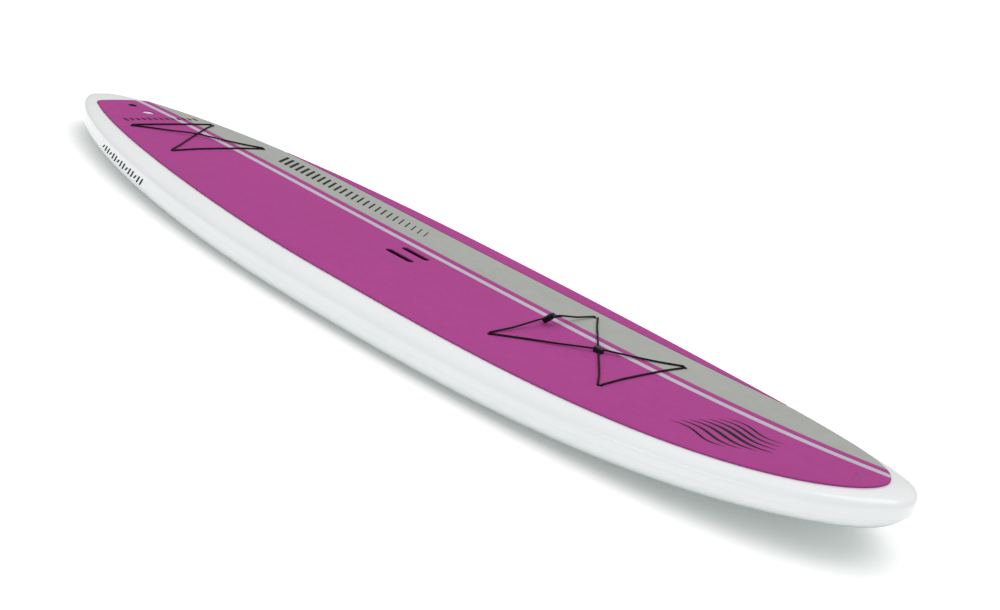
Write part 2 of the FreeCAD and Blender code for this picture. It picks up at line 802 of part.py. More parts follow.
def crossing_clip():
    """Small moulded block that keeps the two diagonals together where they cross."""
    a, b, c, d = nose_loop
    x, y = between(a, d, crossing_share(a, d, b, c))
    body = slab("crossing_clip_body", "clip_length/2", "clip_width/2", "0", "clip_height", "3.5")
    round_edges(body, "crossing_clip_top", at_height(size("clip_height")), "1.4")
    holes = []
    for start, end, height in ((b, c, LIE), (a, d, LIE + HOP)):
        heading = math.atan2(end.y - start.y, end.x - start.x)
        step = Vector(math.cos(heading), math.sin(heading), 0) * SLOPE_STEP
        way = (deck(x + step.x, y + step.y) - deck(x - step.x, y - step.y)).normalize()
        turn = Rotation(Vector(0, 0, 1), way)
        hole = upright_rod(f"crossing_clip_hole_{len(holes) + 1}", CLIP_HOLE, "-clip_length", "clip_length")
        hole.Placement = Placement(Vector(0, 0, height - CLIP_SEAT), turn).multiply(hole.Placement)
        holes.append(hole)
    cut("bungee_crossing_clip", body, *holes, place=Placement(above_pad(x, y, CLIP_SEAT), Rotation()))


crossing_clip()


# ---------------------------------------------------------------- leash plug, vent, nose plug

LEASH = standing_on(deck, size("leash_x"), size("leash_y"))
VENT = standing_on(deck, size("vent_x"), size("vent_y"))
PLUG = standing_on(deck, size("plug_x"), size("plug_y"))


def slotted(label, profile, slot_length, slot_low, slot_high, place):
    """Turned screw with a driver slot across its head."""
    screw = turned(label + "_body", profile)
    slot = centred_box(label + "_slot", slot_length, "1.6", slot_low, slot_high)
    return cut(label, screw, slot, place=place)


def leash_plug():
    cup = turned("leash_cup_body", [
        ("0", "-leash_depth"), ("leash_radius", "-leash_depth"), ("leash_radius", "pad_thickness-0.2"),
        ("leash_well_radius", "pad_thickness-0.2"), ("leash_well_radius", "-leash_well_depth"),
        ("0", "-leash_well_depth")])
    hole = across("leash_bar_hole", "leash_pin_radius+0.05", "leash_pin_half", "leash_pin_depth")
    cut("leash_cup", cup, hole, place=LEASH)
    bar = across("leash_bar", "leash_pin_radius", "leash_pin_half", "leash_pin_depth")
    bar.Placement = LEASH.multiply(bar.Placement)
    inner, top = "leash_well_radius+0.8", "pad_thickness+leash_bezel"
    bezel = turned("leash_bezel", [
        ("leash_radius+0.1", "0.05"), ("leash_bezel_radius", "0.05"), ("leash_bezel_radius", "pad_thickness"),
        ("leash_bezel_radius-0.6", top), (inner, top), (inner, "pad_thickness"),
        ("leash_radius+0.1", "pad_thickness")])
    bezel.Placement = LEASH


def vent():
    """White vent flush with the deck skin, in a round window of the pad."""
    seat = "-0.4"
    body = turned("vent_body", [
        ("vent_bore", "-vent_depth"), ("vent_stem_radius", "-vent_depth"), ("vent_stem_radius", "-2"),
        ("vent_radius", "-2"), ("vent_radius", "vent_top-0.8"), ("vent_radius-1", "vent_top"),
        ("vent_head_radius+0.6", "vent_top"), ("vent_head_radius+0.6", seat), ("vent_bore", seat)])
    body.Placement = VENT
    ring = doc.addObject("Part::Torus", "vent_oring")
    ring.Label = "vent_oring"
    bind(ring, "Radius1", "vent_screw_radius+1.4")
    ring.Radius2 = 0.75
    ring.Placement = VENT.multiply(Placement(Vector(0, 0, amount(seat) + 0.76), Rotation()))
    head_low, head_high = "1.2", "2.8"
    slotted("vent_screw", [
        ("0", "-14"), ("vent_screw_radius-0.6", "-14"), ("vent_screw_radius", "-13.4"),
        ("vent_screw_radius", head_low), ("vent_head_radius", head_low), ("vent_head_radius", "2.3"),
        ("vent_head_radius-0.5", head_high), ("0", head_high)], "vent_head_radius+vent_head_radius+2",
        head_high + "-1", head_high + "+1", VENT)


def nose_plug():
    body = turned("nose_plug_body", [
        ("plug_bore", "-plug_depth"), ("plug_stem_radius", "-plug_depth"), ("plug_stem_radius", "-2"),
        ("plug_radius", "-2"), ("plug_radius", "pad_thickness-0.4"), ("plug_radius-0.8", "pad_thickness+0.4"),
        ("plug_cap_radius+0.5", "pad_thickness+0.4"), ("plug_cap_radius+0.5", "1.4"), ("plug_bore", "1.4")])
    body.Placement = PLUG
    shank, head_low, head_high = "plug_bore-0.05", "1.5", "pad_thickness+0.2"
    slotted("nose_plug_cap", [
        ("0", "-15"), (shank + "-0.6", "-15"), (shank, "-14.4"), (shank, head_low),
        ("plug_cap_radius", head_low), ("plug_cap_radius", "pad_thickness-0.5"),
        ("plug_cap_radius-0.7", head_high), ("0", head_high)], "plug_cap_radius+plug_cap_radius+2",
        head_high + "-1.2", head_high + "+1", PLUG)


leash_plug()
vent()
nose_plug()


# ---------------------------------------------------------------- carry handle

HANDLE = Placement(deck(size("handle_x"), size("handle_y")), Rotation())


def finger_slots(name, grow, low, high):
    """The two finger slots as rounded slabs, grown sideways by grow."""
    slots = []
    for number, side in enumerate((-1, 1), start=1):
        half_width = "handle_slot_width/2+" + grow
        slot = slab(f"{name}_{number}", "handle_slot_length/2+" + grow, half_width, low, high,
                    half_width + "-0.5")
        slot.Placement = Placement(Vector(0, side * size("handle_slot_offset"), 0), Rotation())
        slots.append(slot)
    return slots


def handle_tub():
    """Sunken tub with a grip bar across the middle, under the deck pad."""
    half_x, half_y, top = "handle_tub_length/2", "handle_tub_width/2", "-handle_drop"
    ceiling = top + "-handle_wall"
    outer = slab("handle_tub_outer", half_x, half_y, "-handle_tub_depth", top, "handle_corner")
    lip = slab("handle_tub_lip", half_x + "+handle_lip", half_y + "+handle_lip", ceiling, top,
               "handle_corner+6")
    floor_top = "-handle_tub_depth+handle_wall"
    hollow = slab("handle_tub_hollow", half_x + "-handle_wall", half_y + "-handle_wall", floor_top, ceiling,
                  "handle_corner-handle_wall")
    round_edges(hollow, "handle_tub_foot", at_height(amount(floor_top)), "7")
    slots = finger_slots("handle_tub_slot", "1.5", "-handle_bar_depth", top + "+1")
    shell = cut("handle_tub_shell", fused("handle_tub_blank", outer, lip), hollow, *slots)
    bar = slab("handle_grip", half_x + "-handle_wall+0.1", "handle_slot_offset-handle_slot_width/2-1.5",
               "-handle_bar_depth", ceiling + "+0.2")
    bottom = at_height(-size("handle_bar_depth"))
    long = size("handle_tub_width")
    round_edges(bar, "handle_grip_round", lambda edge: bottom(edge) and edge.Length > long, "6")
    tub = fused("handle_tub", shell, bar)
    tub.Placement = HANDLE


handle_tub()


# ---------------------------------------------------------------- fin box

FIN = standing_on(floor, size("fin_x"), 0)


def fin_box():
    """Long box with a fin slot, side grooves for the nut plate and a round entry."""
    outer = slab("fin_box_outer", "fin_box_length/2", "fin_box_width/2", "fin_sink", "fin_box_depth", "12")
    channel = slab("fin_box_channel", "fin_channel_length/2", "fin_channel_width/2", "-1", "fin_channel_depth",
                   "fin_channel_width/2-0.2")
    groove = slab("fin_box_groove", "fin_channel_length/2-4", "fin_groove_width/2", "fin_groove_from",
                  "fin_groove_from+fin_groove_height")
    entry = upright_rod("fin_box_entry", "fin_entry_radius", "-1", "fin_groove_from+0.5")
    cut("fin_box", outer, channel, groove, entry, place=FIN)


PLATE_LIFT = size("fin_groove_from") + (size("fin_groove_height") - size("fin_plate_thickness")) / 2
PLATE = FIN.multiply(Placement(Vector(size("fin_plate_x"), 0, PLATE_LIFT), Rotation()))


def nut_plate():
    """Nut plate with an M4 thread, in the grooves."""
    blank = slab("fin_nut_blank", "fin_plate_length/2", "fin_plate_width/2", "0", "fin_plate_thickness", "1")
    thread = upright_rod("fin_nut_thread", "fin_screw_bore", "-1", "fin_plate_thickness+1")
    cut("fin_nut_plate", blank, thread, place=PLATE)


def fin_screw():
    """Pan-head screw with a cross recess, head towards the slot's mouth."""
    low, top = "-fin_head_height-1.2", "fin_screw_half+3"
    rim = "0.9"
    screw = turned("fin_screw_body", [
        ("0", low), ("fin_head_radius-" + rim, low), ("fin_head_radius", low + "+" + rim),
        ("fin_head_radius", low + "+fin_head_height"), ("fin_screw_radius", low + "+fin_head_height"),
        ("fin_screw_radius", top + "-0.5"), ("fin_screw_radius-0.5", top), ("0", top)])
    cross = [centred_box("fin_screw_recess_1", "4.2", "1", low + "-1", low + "+1.2"),
             centred_box("fin_screw_recess_2", "1", "4.2", low + "-1", low + "+1.2")]
    cut("fin_screw", screw, *cross, place=PLATE)


fin_box()
nut_plate()
fin_screw()


# ---------------------------------------------------------------- skins, foam, stringer

def pocket_for(radius_flange, flange, radius_stem, depth, place, gap=0.1):
    """Cutter for a flanged round fitting: flange above, stem below."""
    cutter = cylinder(radius_stem + gap, -depth - gap, 20)
    if radius_flange > radius_stem:
        cutter = cutter.fuse(cylinder(radius_flange + gap, -flange - gap, 20))
    return placed(cutter, place)


fitting_pockets = [pocket_for(size("insert_flange_radius"), size("insert_flange"), size("insert_radius"),
                              size("insert_depth"), anchor.placement) for anchor in nose_loop + tail_loop]
fitting_pockets.append(pocket_for(size("leash_radius"), 0, size("leash_radius"), size("leash_depth"), LEASH))
putty_bed = pocket_for(size("leash_radius"), 0, size("leash_radius"), size("leash_depth"), LEASH, gap=2.2)
fitting_pockets.append(pocket_for(size("vent_radius"), 2, size("vent_stem_radius"), size("vent_depth"), VENT))
fitting_pockets.append(pocket_for(size("plug_radius"), 2, size("plug_stem_radius"), size("plug_depth"), PLUG))

SLACK = 0.4
ABOVE = 30.0


def tub_pocket():
    """Room for the handle tub and its lip, open upwards."""
    length, width = size("handle_tub_length") + SLACK, size("handle_tub_width") + SLACK
    corner = size("handle_corner") + SLACK / 2
    lip, step = 2 * size("handle_lip"), -size("handle_drop") - size("handle_wall") - 0.1
    room = rounded_block(length, width, -size("handle_tub_depth") - SLACK / 2, ABOVE, corner)
    room = room.fuse(rounded_block(length + lip, width + lip, step, ABOVE, corner + 6))
    return placed(room, HANDLE)


fitting_pockets.append(tub_pocket())
fin_pocket = placed(rounded_block(size("fin_box_length") + SLACK, size("fin_box_width") + SLACK,
                                  -ABOVE, size("fin_box_depth") + SLACK / 2, 12 + SLACK / 2), FIN)

outside = hull()
inside = hull(size("skin"))
foam_room = hull(size("skin") + size("bond"))

above = above_joint()
made("deck_skin", outside.common(above).cut(inside).cut(fitting_pockets))

GLUE = 0.1
LOW = -50.0
CORNER_SHARE = 0.3
TILT_ROOM = 2.0
SKIN_JOINT = size("fin_x") + size("fin_box_length") / 2 + 3.3


def cuts_within(middle, half, corner):
    """Two saw cuts inside a pocket, far enough in to cross within its rounded corners."""
    reach = half - CORNER_SHARE * corner
    return middle - reach, middle + reach


TUB_AFT, TUB_FORE = cuts_within(size("handle_x"), size("handle_tub_length") / 2, size("handle_corner"))
TUB_RIGHT, TUB_LEFT = cuts_within(size("handle_y"), size("handle_tub_width") / 2, size("handle_corner"))
FIN_AFT, FIN_FORE = cuts_within(size("fin_x"), size("fin_box_length") / 2, 12)
FIN_AFT += TILT_ROOM
FIN_RIGHT, FIN_LEFT = cuts_within(0, size("fin_box_width") / 2, 12)
LEASH_AFT, LEASH_FORE = cuts_within(size("leash_x"), size("leash_radius"), size("leash_radius"))
LEASH_RIGHT = cuts_within(size("leash_y"), size("leash_radius"), size("leash_radius"))[0]


def within(shape, from_x, to_x, from_y=-BEAM, to_y=BEAM):
    """The part of a shape between four upright planes."""
    room = Part.makeBox(to_x - from_x, to_y - from_y, SKY, Vector(from_x, from_y, LOW))
    return shape.common(room)


skin_below = outside.cut(above).cut(inside).cut(fin_pocket)
made("bottom_skin", within(skin_below, SKIN_JOINT, HALF))
made("tail_bottom_skin", within(skin_below, -HALF, SKIN_JOINT - GLUE))

# The foam blank and its spine are glued up from blocks, sawn at the fin box, leash plug and handle tub.
BLOCKS = [
    (-HALF, LEASH_AFT, None, None), (LEASH_AFT, LEASH_FORE, LEASH_RIGHT, None),
    (LEASH_FORE, FIN_AFT, None, None), (FIN_AFT, FIN_FORE, FIN_RIGHT, FIN_LEFT),
    (FIN_FORE, TUB_AFT, None, None), (TUB_AFT, TUB_FORE, TUB_RIGHT, TUB_LEFT),
    (TUB_FORE, HALF, None, None)]
half_spine = size("stringer_width") / 2


def glued_up(label, inner_y, outer_y, pick):
    """Blocks between two upright planes, sawn once more at the edge that pick takes from a row."""
    left, right = max(inner_y, outer_y), min(inner_y, outer_y)
    pockets = fitting_pockets + [putty_bed, fin_pocket]
    pieces = []
    for from_x, to_x, *edges in BLOCKS:
        saw = pick(edges)
        spans = [(right, left)] if saw is None else [(right, saw - GLUE), (saw, left)]
        for low_y, high_y in spans:
            pieces.append(within(foam_room, from_x, to_x - GLUE, low_y, high_y).cut(pockets))
    made(label, Part.makeCompound(pieces))


glued_up("stringer", -half_spine, half_spine, lambda edges: None)
glued_up("foam_core_port", half_spine + GLUE, BEAM, lambda edges: edges[1])
glued_up("foam_core_starboard", -half_spine - GLUE, -BEAM, lambda edges: edges[0])


# ---------------------------------------------------------------- deck pad

def pad_half_width(x):
    widest = size("widest_x")
    if x >= widest:
        taper = share(x, widest, size("pad_nose_x")) ** size("pad_nose_power")
        return size("pad_half_width") * (1 - taper) ** size("pad_nose_round")
    taper = share(x, widest, size("pad_tail_virtual_x")) ** size("pad_tail_power")
    return size("pad_half_width") * (1 - taper) ** size("pad_tail_round")


def pad_prism():
    """Tall prism with the pad's outline: round at the nose, straight across at the tail."""
    tail, nose = size("pad_tail_x"), size("pad_nose_x")
    count = 26
    side = []
    for i in range(count):
        x = tail + (nose - tail) * math.sin(math.pi / 2 * i / (count - 1))
        side.append(Vector(x, pad_half_width(x), 0))
    mirrored = [Vector(p.x, -p.y, 0) for p in side[-2::-1]]
    curve = Part.BSplineCurve()
    curve.interpolate(side + mirrored)
    back = Part.makeLine(mirrored[-1], side[0])
    prism = Part.Face(Part.Wire([curve.toShape(), back])).extrude(Vector(0, 0, SKY))
    corners = [e for e in prism.Edges if e.BoundBox.XMax < tail + 1 and e.BoundBox.ZLength > SKY - 1]
    return prism.makeFillet(size("pad_corner"), corners)


pad_layer = hull(-PAD).common(above).common(pad_prism()).cut(outside)


def window(radius, place, gap=0.2):
    """Round hole through the pad over a fitting."""
    return placed(cylinder(radius + gap, -1, PAD + 7), place)


pad_holes = [window(size("insert_well_radius"), anchor.placement) for anchor in nose_loop + tail_loop]
pad_holes.append(window(size("leash_bezel_radius"), LEASH))
pad_holes.append(window(size("vent_radius"), VENT, gap=0.8))
pad_holes.append(window(size("plug_radius"), PLUG))
for side in (-1, 1):
    slot = rounded_block(size("handle_slot_length"), size("handle_slot_width"), -6, PAD + 9,
                         size("handle_slot_width") / 2 - 0.5)
    slot.translate(Vector(0, side * size("handle_slot_offset"), 0))
    pad_holes.append(placed(slot, HANDLE))
pad_layer = pad_layer.cut(pad_holes)

joint, groove = size("pad_joint") / 2, size("pad_groove") / 2
PANELS = [
    ("deck_pad_main", -BEAM, size("pinstripe_from") - joint),
    ("deck_pad_pinstripe", size("pinstripe_from") + joint, size("thin_stripe_from") - joint),
    ("deck_pad_thin_stripe", size("thin_stripe_from") + joint, size("band_from") - groove),
    ("deck_pad_grey_band", size("band_from"), size("band_to") - groove),
    ("deck_pad_port_panel", size("band_to") + groove, BEAM),
]
for label, low_y, high_y in PANELS:
    strip = Part.makeBox(2 * HALF, high_y - low_y, SKY, Vector(-HALF, low_y, 0))
    made(label, pad_layer.common(strip))


# ---------------------------------------------------------------- write the pieces

doc.recompute()
NODES = [
    "foam_core_port", "foam_core_starboard", "stringer", "bottom_skin", "tail_bottom_skin", "deck_skin",
    "deck_pad_main", "deck_pad_pinstripe", "deck_pad_thin_stripe", "deck_pad_grey_band", "deck_pad_port_panel",
    "handle_tub", "nose_bungee_inserts", "nose_bungee_pins", "nose_bungee_cord",
    "tail_bungee_inserts", "tail_bungee_pins", "tail_bungee_cord",
    "cord_lock_barrel", "cord_lock_button", "cord_lock_spring", "bungee_crossing_clip",
    "leash_cup", "leash_bezel", "leash_bar", "vent_body", "vent_oring", "vent_screw",
    "nose_plug_body", "nose_plug_cap", "fin_box", "fin_nut_plate", "fin_screw",
]
for thing in doc.Objects:
    if "Invalid" in thing.State or "Error" in thing.State:
        raise RuntimeError(f"{thing.Label} did not compute: {thing.State}")
os.makedirs("parts", exist_ok=True)
for node in NODES:
    shape = doc.getObjectsByLabel(node)[0].Shape
    if shape.isNull() or not shape.isValid() or not shape.Solids:
        raise RuntimeError(f"{node} has no valid solid")
    shape.exportStep(f"parts/{node}.step")
    box = shape.BoundBox
    print(f"{node:24s} solids {len(shape.Solids)} volume {shape.Volume / 1000:.1f} cm3 "
          f"x {box.XMin:.0f}..{box.XMax:.0f} y {box.YMin:.0f}..{box.YMax:.0f} z {box.ZMin:.1f}..{box.ZMax:.1f}")
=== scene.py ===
# Rigid touring paddleboard: gloss white shell, EVA deck pad in five panels, shock cords, carry handle.
# Row frame: +X to the nose, +Y to port, +Z up. Lengths are in millimetres until a mesh is made.

import math

import bpy
import numpy as np
from mathutils import Euler, Matrix, Vector
from mathutils.geometry import delaunay_2d_cdt


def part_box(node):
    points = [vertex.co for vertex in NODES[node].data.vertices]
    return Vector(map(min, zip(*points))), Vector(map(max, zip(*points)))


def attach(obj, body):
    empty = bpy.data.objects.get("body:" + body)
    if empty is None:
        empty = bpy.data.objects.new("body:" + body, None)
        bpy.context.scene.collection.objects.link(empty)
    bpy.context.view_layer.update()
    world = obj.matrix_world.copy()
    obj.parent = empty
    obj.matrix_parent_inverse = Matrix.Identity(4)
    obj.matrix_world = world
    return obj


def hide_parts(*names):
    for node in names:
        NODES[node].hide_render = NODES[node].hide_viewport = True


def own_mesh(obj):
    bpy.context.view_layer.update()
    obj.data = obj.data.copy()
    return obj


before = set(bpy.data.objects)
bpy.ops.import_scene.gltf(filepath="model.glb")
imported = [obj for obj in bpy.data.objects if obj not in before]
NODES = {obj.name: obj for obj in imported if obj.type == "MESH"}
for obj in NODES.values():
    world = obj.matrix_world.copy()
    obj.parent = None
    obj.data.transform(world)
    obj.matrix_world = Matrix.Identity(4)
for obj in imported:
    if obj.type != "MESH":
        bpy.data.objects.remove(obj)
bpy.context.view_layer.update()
MM = 0.001


# ---------------------------------------------------------------- board surface

HALF = 1600.0
BEAM = 406.5
WIDEST_X = -23.0
THICK, NOSE_THICK, TAIL_THICK = 120.0, 76.0, 50.0
RAIL_SHARE = 0.46
DECK_FULLNESS, DECK_CROWN, BOTTOM_FULLNESS = 0.45, 0.28, 0.5
TIP_ROUND = 18.0


def share(x, start, end):
    """How far x lies between start and end, kept between 0 and 1."""
    return np.clip((x - start) / (end - start), 0.0, 1.0)


def outline(x):
    """Half width of the board."""
    fore = (1 - share(x, WIDEST_X, HALF) ** 2.5) ** 0.5
    aft = (1 - share(x, WIDEST_X, -HALF) ** 1.93) ** 0.58
    return BEAM * np.where(x >= WIDEST_X, fore, aft)


def bottom_height(x):
    return 104 * share(x, -100, HALF) ** 3.7 + 60 * share(x, 0, -HALF) ** 2.3


def thickness(x):
    nose_taper = (THICK - NOSE_THICK) * share(x, 0, HALF) ** 3
    return THICK - nose_taper - (THICK - TAIL_THICK) * share(x, 0, -HALF) ** 3


def section(x, angle):
    """Y and Z of the cross section at x: angle 0 is the port rail, 90 degrees the deck."""
    x, angle = np.asarray(x, float), np.asarray(angle, float)
    closing = np.sqrt(1 - np.exp(-(HALF - np.abs(x)) / TIP_ROUND))
    tall = thickness(x)
    rail = bottom_height(x) + RAIL_SHARE * tall
    cosine, sine = np.cos(angle), np.sin(angle)
    top = sine >= 0
    fullness = np.where(top, DECK_FULLNESS, BOTTOM_FULLNESS)
    crown = np.where(top, DECK_CROWN, BOTTOM_FULLNESS)
    height = np.where(top, (1 - RAIL_SHARE) * tall, RAIL_SHARE * tall)
    y = outline(x) * cosine * (1 + fullness * sine ** 2)
    return y, rail + height * closing * sine * (1 + crown * cosine ** 2)


def deck_height(x, y):
    """Z of the deck above each point."""
    x, y = np.broadcast_arrays(np.asarray(x, float), np.asarray(y, float))
    low, high = np.zeros(x.shape), np.full(x.shape, math.pi / 2)
    for _ in range(34):
        middle = (low + high) / 2
        outside = section(x, middle)[0] > np.abs(y)
        low = np.where(outside, middle, low)
        high = np.where(outside, high, middle)
    return section(x, low)[1]


STEP = 4.0


def over_deck(x, y, height):
    """Points at a height above the deck, along its upward normal, as an array of rows."""
    x, y, height = np.broadcast_arrays(*(np.asarray(v, float) for v in (x, y, height)))
    slope_x = (deck_height(x + STEP, y) - deck_height(x - STEP, y)) / (2 * STEP)
    slope_y = (deck_height(x, y + STEP) - deck_height(x, y - STEP)) / (2 * STEP)
    size = np.sqrt(slope_x ** 2 + slope_y ** 2 + 1)
    base = np.stack([x, y, deck_height(x, y)], -1)
    normal = np.stack([-slope_x / size, -slope_y / size, 1 / size], -1)
    return base + normal * height[..., None]


def over_rail(x, angle, height):
    """Points at a height above the starboard rail; angle 0 is the widest line, up positive."""
    x, angle, height = np.broadcast_arrays(*(np.asarray(v, float) for v in (x, angle, height)))

    def at(along, turn):
        y, z = section(along, turn)
        return np.stack([along, -y, z], -1)

    ahead = at(x + STEP, angle) - at(x - STEP, angle)
    upward = at(x, angle + 0.02) - at(x, angle - 0.02)
    normal = np.cross(ahead, upward)
    normal /= np.linalg.norm(normal, axis=-1, keepdims=True)
    return at(x, angle) + normal * height[..., None]


# ---------------------------------------------------------------- materials

class Shading:
    """A node material: Principled shader, object coordinates, and short ways to join nodes."""

    def __init__(self, name, roughness, specular=0.5, metallic=0.0):
        self.material = bpy.data.materials.new(name)
        self.material.use_nodes = True
        self.nodes = self.material.node_tree.nodes
        self.links = self.material.node_tree.links
        self.shader = self.nodes["Principled BSDF"]
        self.put(self.shader, "Roughness", roughness)
        self.put(self.shader, "Specular IOR Level", specular)
        self.put(self.shader, "Metallic", metallic)
        self.coordinates = self.nodes.new("ShaderNodeTexCoord")
        self.place = self.coordinates.outputs["Object"]
        self.height = None

    def put(self, node, socket, value):
        if isinstance(value, bpy.types.NodeSocket):
            self.links.new(value, node.inputs[socket])
        else:
            node.inputs[socket].default_value = value

    def scaled(self, x, y, z, source=None):
        node = self.nodes.new("ShaderNodeMapping")
        self.put(node, "Vector", source or self.place)
        self.put(node, "Scale", (x, y, z))
        return node.outputs["Vector"]

    def noise(self, size, detail=3.0, rough=0.5, source=None):
        """Noise whose features are about size millimetres."""
        node = self.nodes.new("ShaderNodeTexNoise")
        self.put(node, "Vector", source or self.place)
        self.put(node, "Scale", 1000.0 / size)
        self.put(node, "Detail", detail)
        self.put(node, "Roughness", rough)
        return node.outputs["Fac"]

    def cells(self, size):
        """Distance to the middle of cells of about size millimetres."""
        node = self.nodes.new("ShaderNodeTexVoronoi")
        self.put(node, "Vector", self.place)
        self.put(node, "Scale", 1000.0 / size)
        return node.outputs["Distance"]

    def span(self, value, from_low, from_high, to_low, to_high):
        node = self.nodes.new("ShaderNodeMapRange")
        for socket, number in zip(("Value", "From Min", "From Max", "To Min", "To Max"),
                                  (value, from_low, from_high, to_low, to_high)):
            self.put(node, socket, number)
        return node.outputs["Result"]

    def math(self, operation, first, second=0.0):
        node = self.nodes.new("ShaderNodeMath")
        node.operation = operation
        self.put(node, 0, first)
        self.put(node, 1, second)
        return node.outputs["Value"]

    def blend(self, amount, first, second):
        """Colour from first to second as amount goes from 0 to 1."""
        node = self.nodes.new("ShaderNodeMix")
        node.data_type = "RGBA"
        self.put(node, 0, amount)
        for socket, colour in ((6, first), (7, second)):
            self.put(node, socket, colour if isinstance(colour, bpy.types.NodeSocket) else (*colour, 1))
        return node.outputs[2]

    def colour(self, value):
        self.put(self.shader, "Base Color", value)

    def bump(self, value, depth, strength=1.0):
        """Relief of that depth in millimetres, on top of any before it."""
        node = self.nodes.new("ShaderNodeBump")
        self.put(node, "Height", value)
        self.put(node, "Distance", depth * MM)
        self.put(node, "Strength", strength)
        if self.height:
            self.put(node, "Normal", self.height)
        self.height = node.outputs["Normal"]
        self.put(self.shader, "Normal", self.height)

    def rough(self, low, high, size):
        self.put(self.shader, "Roughness", self.span(self.noise(size, 4), 0.3, 0.7, low, high))


def tinted(colour, factor):
    return tuple(min(1.0, c * factor) for c in colour)


def eva_foam(name, colour):
    """Closed-cell EVA sheet: cut pores, a soft mottle, and shallow pressed diamonds."""
    s = Shading(name, 0.8, 0.06)
    fine_cloud = s.span(s.noise(34, 5, 0.6), 0.3, 0.7, 0, 1)
    wide_cloud = s.span(s.noise(260, 2), 0.35, 0.65, 0, 1)
    mottle = s.blend(fine_cloud, tinted(colour, 0.93), tinted(colour, 1.06))
    wide = s.blend(wide_cloud, tinted(colour, 0.96), tinted(colour, 1.03))
    base = s.blend(0.5, mottle, wide)
    pores = s.span(s.cells(1.5), 0.05, 0.42, 0.0, 1.0)
    # The pores are coloured darker where the bump sinks them: painted shade inside the pores.
    s.colour(s.blend(pores, s.blend(0.22, base, tinted(colour, 0.55)), base))
    s.rough(0.7, 0.88, 9)
    parts = s.nodes.new("ShaderNodeSeparateXYZ")
    s.put(parts, "Vector", s.place)
    pitch = 2 * math.pi / (6.0 * MM)
    along = s.math("MULTIPLY", s.math("ADD", parts.outputs["X"], parts.outputs["Y"]), pitch)
    across = s.math("MULTIPLY", s.math("SUBTRACT", parts.outputs["X"], parts.outputs["Y"]), pitch)
    diamonds = s.math("MULTIPLY", s.math("SINE", along), s.math("SINE", across))
    s.bump(s.span(diamonds, -0.6, 0.6, 0, 1), 0.22, 0.45)
    s.bump(pores, 0.18, 0.5)
    s.bump(s.noise(0.7, 2), 0.08, 0.5)
    return s.material


WHITE_PAINT = (0.80, 0.82, 0.825)
# Grey that the white is darkened to as the rail turns downward: painted shade.
RAIL_PAINTED_SHADE = (0.47, 0.50, 0.51)
# Bottom colour: a pale blue-green tone, darkened with painted shade.
UNDERSIDE_TONE_AND_SHADE = (0.25, 0.33, 0.30)


def gloss_shell(name):
    """Sprayed and clear-coated laminate, white, with painted shade darkening it to grey as the surface turns
    down under the rail, and a pale blue-green bottom darkened with painted shade.
    """
    s = Shading(name, 0.16, 0.5)
    side = s.nodes.new("ShaderNodeSeparateXYZ")
    s.put(side, "Vector", s.coordinates.outputs["Normal"])
    # Painted shade by facing: the white darkens as the surface turns downward, and below that gives way to
    # the bottom's blue-green tone, which is also darkened with painted shade.
    rail_painted_shade = s.span(side.outputs["Z"], 0.0, -0.6, 0.0, 1.0)
    under = s.span(side.outputs["Z"], -0.5, -0.8, 0.0, 1.0)
    cloud = s.blend(s.span(s.noise(420, 3), 0.35, 0.65, 0, 1), tinted(WHITE_PAINT, 0.98), WHITE_PAINT)
    bottom_tone_and_shade = s.blend(s.span(s.noise(300, 3), 0.35, 0.65, 0, 1), tinted(UNDERSIDE_TONE_AND_SHADE, 0.95), UNDERSIDE_TONE_AND_SHADE)
    s.colour(s.blend(under, s.blend(rail_painted_shade, cloud, RAIL_PAINTED_SHADE), bottom_tone_and_shade))
    s.rough(0.12, 0.2, 60)
    s.put(s.shader, "Coat Weight", 0.7)
    s.put(s.shader, "Coat Roughness", 0.035)
    drawn = s.scaled(0.12, 1, 1)
    s.bump(s.noise(46, 2, source=drawn), 0.12, 0.25)
    s.bump(s.noise(5, 2), 0.012, 0.3)
    scuffs = s.span(s.noise(3, 6, 0.7, source=s.scaled(0.2, 1, 1)), 0.66, 0.72, 0, 1)
    s.bump(scuffs, 0.01, 0.25)
    return s.material


def moulded(name, colour, roughness=0.42, grain=0.9, specular=0.45):
    """Injection-moulded plastic: spark-eroded grain and faint flow marks."""
    s = Shading(name, roughness, specular)
    flow = s.span(s.noise(14, 4, 0.6), 0.3, 0.7, 0, 1)
    s.colour(s.blend(flow, tinted(colour, 0.85), tinted(colour, 1.15)))
    s.rough(roughness - 0.07, roughness + 0.12, 5)
    s.bump(s.noise(grain, 3, 0.6), 0.05, 0.45)
    return s.material


def metal(name, colour, roughness=0.24, stretch=14.0):
    """Turned or drawn metal with fine lines one way."""
    s = Shading(name, roughness, 0.5, 1.0)
    lines = s.noise(1.2, 4, 0.6, source=s.scaled(1, 1.0 / stretch, 1))
    s.colour(s.blend(s.span(lines, 0.3, 0.7, 0, 1), tinted(colour, 0.86), colour))
    s.rough(roughness - 0.06, roughness + 0.12, 2)
    s.bump(lines, 0.02, 0.4)
    return s.material


def rubber(name, colour):
    s = Shading(name, 0.6, 0.35)
    s.colour(s.blend(s.span(s.noise(4, 4), 0.3, 0.7, 0, 1), tinted(colour, 0.8), tinted(colour, 1.2)))
    s.rough(0.5, 0.7, 2)
    s.bump(s.noise(0.4, 2), 0.03, 0.5)
    return s.material


